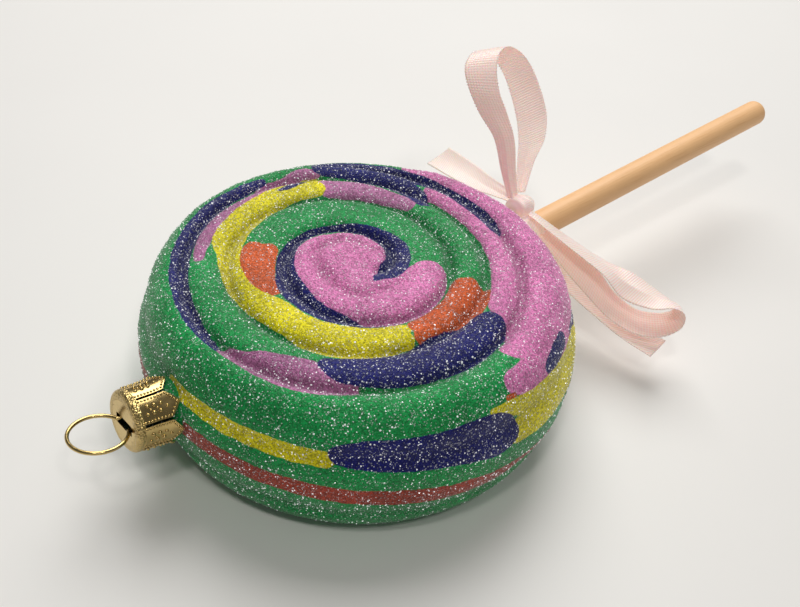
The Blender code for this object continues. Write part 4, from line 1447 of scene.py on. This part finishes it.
@dataclass
class SatinBow:
    """The satin ribbon tied round the stick: a wrap, a knot, two loops and two tails.

    The picots are the small scallops along the ribbon's edges.
    """

    finish: bpy.types.Material
    middle: float
    beads: bpy.types.NodeTree
    thickness: float = 0.22
    columns: int = 20
    row_step: float = 0.35
    picot: float = 0.025
    picot_step: float = 0.62
    edge_bead: float = 0.13
    edge_power: float = 8.0
    pinch_length: float = 3.5
    pinch_depth: float = 0.35
    far_pinch: float = 0.6
    stick_offset: float = 1.8
    stick_rise: float = math.radians(3.7)
    stick_turn: float = math.radians(0.8)
    stick_radius: float = 3.475
    wrap_start: float = 45.9
    wrap_length: float = 4.6
    wrap_sunk: float = 0.15
    wrap_proud: float = 0.55
    wrap_folds: float = 5.0
    fold_depth: float = 0.12
    wrap_bulge: float = 0.1
    wrap_rounding: float = 0.25
    wrap_swell: float = 0.012
    knot_middle: Vec = (48.7, 4.5, 9.6)
    knot_half: Vec = (2.6, 3.3, 2.6)
    knot_lean: float = math.radians(-35.0)
    knot_folds: tuple[float, float] = (0.05, 0.06)
    knot_square: tuple[float, float] = (0.8, 0.75)
    knot_ribbon: float = 5.0
    close_weave: float = 0.5

    def strip_points(self, strip: Strip) -> tuple[np.ndarray, np.ndarray, np.ndarray]:
        """Return a strip's grid of points, its share across and its length along.

        Args:
            strip: The run of ribbon.

        Returns:
            Points in millimetres, the place across and the length along for each.
        """
        stations = np.array(strip.stations)
        spread = np.linspace(0.0, len(stations) - 1.0, 400)
        middle = curve_through(stations[:, 0], spread)
        arc = np.concatenate([[0.0], np.cumsum(np.linalg.norm(np.diff(middle, axis=0), axis=1))])
        rows = int(arc[-1] / self.row_step)
        lengths = np.linspace(0.0, arc[-1], rows)
        spread = np.interp(lengths, arc, spread)
        middle = curve_through(stations[:, 0], spread)
        half = curve_through(stations[:, 1], spread)
        along = np.gradient(middle, axis=0)
        normal = np.cross(half, along)
        normal /= np.linalg.norm(normal, axis=1)[:, None]
        normal *= -1.0 if strip.flip else 1.0
        share = np.linspace(-1.0, 1.0, self.columns + 1)[None, :]
        scallops = np.sin(lengths[:, None] * math.tau / self.picot_step)
        width = share * (1.0 + self.picot * np.abs(share) ** self.edge_power * scallops)
        crease, cup = (curve_through(np.array(row), lengths / lengths[-1] * (len(row) - 1))[:, None]
                       for row in (strip.crease, strip.cup))
        far_pinch = 0.0 if strip.free_end else self.far_pinch
        pinch = (np.exp(-lengths / self.pinch_length)
                 + far_pinch * np.exp(-(lengths[-1] - lengths) / self.pinch_length))[:, None]
        lift = crease * (0.5 - np.abs(share)) - cup * share ** 2
        lift = lift + pinch * self.pinch_depth * np.cos(share * 2.5 * math.pi)
        points = (middle[:, None, :] + half[:, None, :] * width[:, :, None]
                  + normal[:, None, :] * lift[:, :, None])
        across = share * np.linalg.norm(half, axis=1)[:, None]
        return points, across, np.repeat(lengths[:, None], self.columns + 1, axis=1)

    def strip(self, strip: Strip) -> bpy.types.Object:
        """Make one run of ribbon, with its edges finished in small beads."""
        points, across, along = self.strip_points(strip)
        world = (points + UP * self.middle) * MM
        mesh = grid_mesh(strip.name, world)
        if strip.flip:
            mesh.flip_normals()
        keep_weave(mesh, across, along, strip.weave)
        mesh.materials.append(self.finish)
        piece = add_object(strip.name, mesh)
        thick = piece.modifiers.new("thickness", "SOLIDIFY")
        thick.thickness = self.thickness * MM
        thick.offset = 0.0
        piece = plain_copy(piece)
        count = len(mesh.vertices)
        face = np.ones(len(piece.data.vertices))
        face[count:] = 0.0
        piece.data.attributes["outer"].data.foreach_set("value", face.astype(np.float32))
        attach(piece, BODY)
        step = max(int(round(self.picot_step / self.row_step)), 1)
        edges = np.concatenate([world[::step, 0], world[::step, -1]])
        rows = bead_row(f"{strip.name}_edge", edges, np.ones(len(edges)), self.beads, self.edge_bead,
                        self.finish)
        keep_weave(rows.data, 0.0, 0.0, 0.0)
        return piece

    def stick_place(self) -> Matrix:
        """Return the stick's own place, its Z along the stick."""
        direction = (math.cos(self.stick_rise) * math.cos(self.stick_turn),
                     math.cos(self.stick_rise) * math.sin(self.stick_turn), math.sin(self.stick_rise))
        return axis_frame((0.0, 0.0, self.stick_offset + self.middle), direction)

    def wrap(self) -> bpy.types.Object:
        """Make the turns of ribbon round the stick."""
        turn = np.linspace(0.0, math.tau, 96, endpoint=False)
        share = np.linspace(0.0, 1.0, 24)
        folds = self.fold_depth * np.sin(share * self.wrap_folds * math.pi)
        bulge = self.wrap_bulge * np.sin(share * math.pi)
        rounding = self.wrap_rounding * np.abs(2.0 * share - 1.0) ** 6
        outer = self.stick_radius + self.wrap_proud + folds + bulge - rounding
        start, end = self.wrap_start, self.wrap_start + self.wrap_length
        outside = np.stack([outer, start + self.wrap_length * share], axis=-1)
        inner = self.stick_radius - self.wrap_sunk
        section = np.concatenate([outside, [(inner, end - 0.1), (inner, start + 0.1)], outside[:1]])
        swell = 1.0 + self.wrap_swell * np.sin(3.0 * turn + 0.6)
        mesh = grid_mesh("stick_wrap", placed(turned(section, turn, swell), self.stick_place()), closed=True)
        return self.close(mesh, turn * self.stick_radius, section[:, 1] - start)

    def close(self, mesh: bpy.types.Mesh, along: np.ndarray, across: np.ndarray) -> bpy.types.Object:
        """Weld a wrapped mesh, keep its weave and make it a piece.

        Args:
            mesh: The mesh, as rows of points round something.
            along: Length along the ribbon for each column.
            across: Place across the ribbon for each row.

        Returns:
            The piece.
        """
        keep_weave(mesh, np.repeat(across, len(along)), np.tile(along, len(across)), self.close_weave)
        with opened(mesh) as cage:
            bmesh.ops.remove_doubles(cage, verts=cage.verts, dist=WELD)
            bmesh.ops.recalc_face_normals(cage, faces=cage.faces)
        mesh.shade_smooth()
        mesh.materials.append(self.finish)
        piece = add_object(mesh.name, mesh)
        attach(piece, BODY)
        return piece

    def knot(self) -> bpy.types.Object:
        """Make the knot: a tight turn of ribbon with its folds."""
        rows, columns = 41, 72
        rise = np.linspace(-math.pi / 2.0, math.pi / 2.0, rows)[:, None]
        turn = np.linspace(0.0, math.tau, columns, endpoint=False)[None, :]
        across, round_it = self.knot_folds
        fold = 1.0 + across * np.sin(8.0 * rise + 1.1 * np.sin(turn)) * np.cos(rise)
        fold = fold + round_it * np.sin(2.0 * turn + 0.9) * np.cos(rise)
        half = np.array(self.knot_half)
        squared = np.sign(np.sin(rise)) * np.abs(np.sin(rise)) ** self.knot_square[0]
        reach = np.cos(rise) ** self.knot_square[1]
        ball = np.stack([half[0] * squared * np.ones_like(turn) * fold,
                         half[1] * reach * np.cos(turn) * fold,
                         half[2] * reach * np.sin(turn) * fold], axis=-1)
        lean = np.array(Matrix.Rotation(self.knot_lean, 3, "X"))
        centre = np.array(self.knot_middle) + UP * self.middle
        mesh = grid_mesh("bow_knot", (ball @ lean.T + centre) * MM, closed=True)
        return self.close(mesh, np.linspace(0.0, math.tau * half[1], columns),
                          np.linspace(0.0, self.knot_ribbon, rows))

    def build(self) -> list[bpy.types.Object]:
        """Make the whole bow.

        Returns:
            Its pieces, shown in place of the bow's solid, which is hidden.
        """
        pieces = [self.strip(run) for run in (STANDING_LOOP, LYING_LOOP, FRONT_TAIL, BACK_TAIL)]
        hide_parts("ribbon_bow")
        return pieces + [self.wrap(), self.knot()]


@dataclass(frozen=True)
class Lamp:
    """A square soft lamp that looks at the ornament.

    The direction is which way it hangs from the ornament. Its distance and its side are in
    millimetres, and its power is in watts.
    """

    name: str
    direction: Vec
    distance: float
    side: float
    power: float
    colour: Vec


LAMPS: tuple[Lamp, ...] = (
    Lamp("front_lamp", (-9.9, -7.5, 25.0), 900.0, 90.0, 0.95, (1.0, 0.98, 0.94)),
    Lamp("side_lamp", (-5.0, -15.6, 25.0), 900.0, 90.0, 0.95, (1.0, 0.98, 0.95)),
    Lamp("ceiling_lamp", (0.46, 0.54, 1.0), 800.0, 620.0, 5.75, (1.0, 0.99, 0.97)),
)


@dataclass
class Studio:
    """The pale table, the soft lights and the camera."""

    table: bpy.types.Material
    target: Vec = (11.9, 0.8, 16.75)
    distance: float = 236.6
    azimuth: float = math.radians(-131.64)
    elevation: float = math.radians(40.52)
    roll: float = math.radians(5.75)
    lens: float = 49.5
    table_side: float = 4000.0
    sky: float = 0.12
    sky_colour: Colour = (0.97, 0.98, 1.0, 1.0)

    def floor(self) -> None:
        """Lay the table under the ornament."""
        half = self.table_side / 2.0 * MM
        rows = np.array([[(-half, half, 0.0), (half, half, 0.0)], [(-half, -half, 0.0), (half, -half, 0.0)]])
        mesh = grid_mesh("table_top", rows)
        mesh.materials.append(self.table)
        add_object("table_top", mesh)

    def camera(self) -> None:
        """Set the camera at the photograph's view."""
        flat = math.cos(self.elevation)
        out = Vector((flat * math.cos(self.azimuth), flat * math.sin(self.azimuth), math.sin(self.elevation)))
        forward = -out
        right = forward.cross(Vector((0.0, 0.0, 1.0))).normalized()
        up = right.cross(forward)
        rolled_right = right * math.cos(self.roll) + up * math.sin(self.roll)
        rolled_up = up * math.cos(self.roll) - right * math.sin(self.roll)
        turn = Matrix((rolled_right, rolled_up, out)).transposed().to_4x4()
        data = bpy.data.cameras.new("photo_camera")
        data.lens = self.lens
        data.clip_start = 10.0 * MM
        holder = bpy.data.objects.new("photo_camera", data)
        place = (Vector(self.target) + out * self.distance) * MM
        holder.matrix_world = Matrix.Translation(place) @ turn
        bpy.context.scene.collection.objects.link(holder)
        bpy.context.scene.camera = holder

    def hang(self, lamp: Lamp) -> None:
        """Hang a lamp."""
        data = bpy.data.lights.new(lamp.name, "AREA")
        data.size = lamp.side * MM
        data.energy = lamp.power
        data.color = lamp.colour
        holder = bpy.data.objects.new(lamp.name, data)
        way = Vector(lamp.direction).normalized()
        holder.location = (Vector(self.target) + way * lamp.distance) * MM
        holder.rotation_euler = way.to_track_quat("Z", "Y").to_euler()
        bpy.context.scene.collection.objects.link(holder)

    def build(self) -> None:
        """Set up the whole studio."""
        self.floor()
        self.camera()
        for lamp in LAMPS:
            self.hang(lamp)
        world = bpy.data.worlds.new("soft_room")
        world.use_nodes = True
        sky = world.node_tree.nodes["Background"]
        sky.inputs["Color"].default_value = self.sky_colour
        sky.inputs["Strength"].default_value = self.sky
        bpy.context.scene.world = world
        bpy.context.scene.view_settings.view_transform = "Standard"


def dress_node(name: str, finish: bpy.types.Material) -> None:
    """Give a solid that stays its finish."""
    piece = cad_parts[name]
    for slot in piece.material_slots:
        slot.material = finish


def report(pieces: Iterable[bpy.types.Object]) -> None:
    """Log each piece with its count of faces."""
    for piece in pieces:
        LOG.info("%s: %d faces", piece.name, len(piece.data.polygons))


def main() -> None:
    """Build the ornament's pieces in order and light them."""
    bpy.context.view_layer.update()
    mottle = mottle_group()
    painted = painted_group(edge=0.24, wobble=0.34)
    glitter = GlitterPaint(painted).material("glitter_paint")
    gold = GoldLeaf(mottle).material("bright_gold")
    stippled = GoldLeaf(mottle, stipple=2.2, roughness=0.3).material("stippled_gold")
    satin = Satin(mottle).material("pink_satin")
    beads = bead_tree()

    disc_maker = CoilDisc(glitter)
    disc = disc_maker.build()
    flakes = GlitterCoat(GlitterFlake(painted).material("glitter_flake")).build(disc)
    cap = OrnamentCap(gold, stippled, glitter, disc_maker.middle)
    cap_pieces = [cap.shell(), cap.beads(beads), cap.ring(), cap.neck()]
    bow = SatinBow(satin, disc_maker.middle, beads).build()
    dress_node("stick", PaintedDowel(mottle).material("peach_dowel"))
    Studio(PaleTable(mottle).material("pale_table")).build()
    report([disc, flakes, *cap_pieces, *bow])


if __name__ == "__main__":
    logging.basicConfig(level=logging.INFO)
    main()
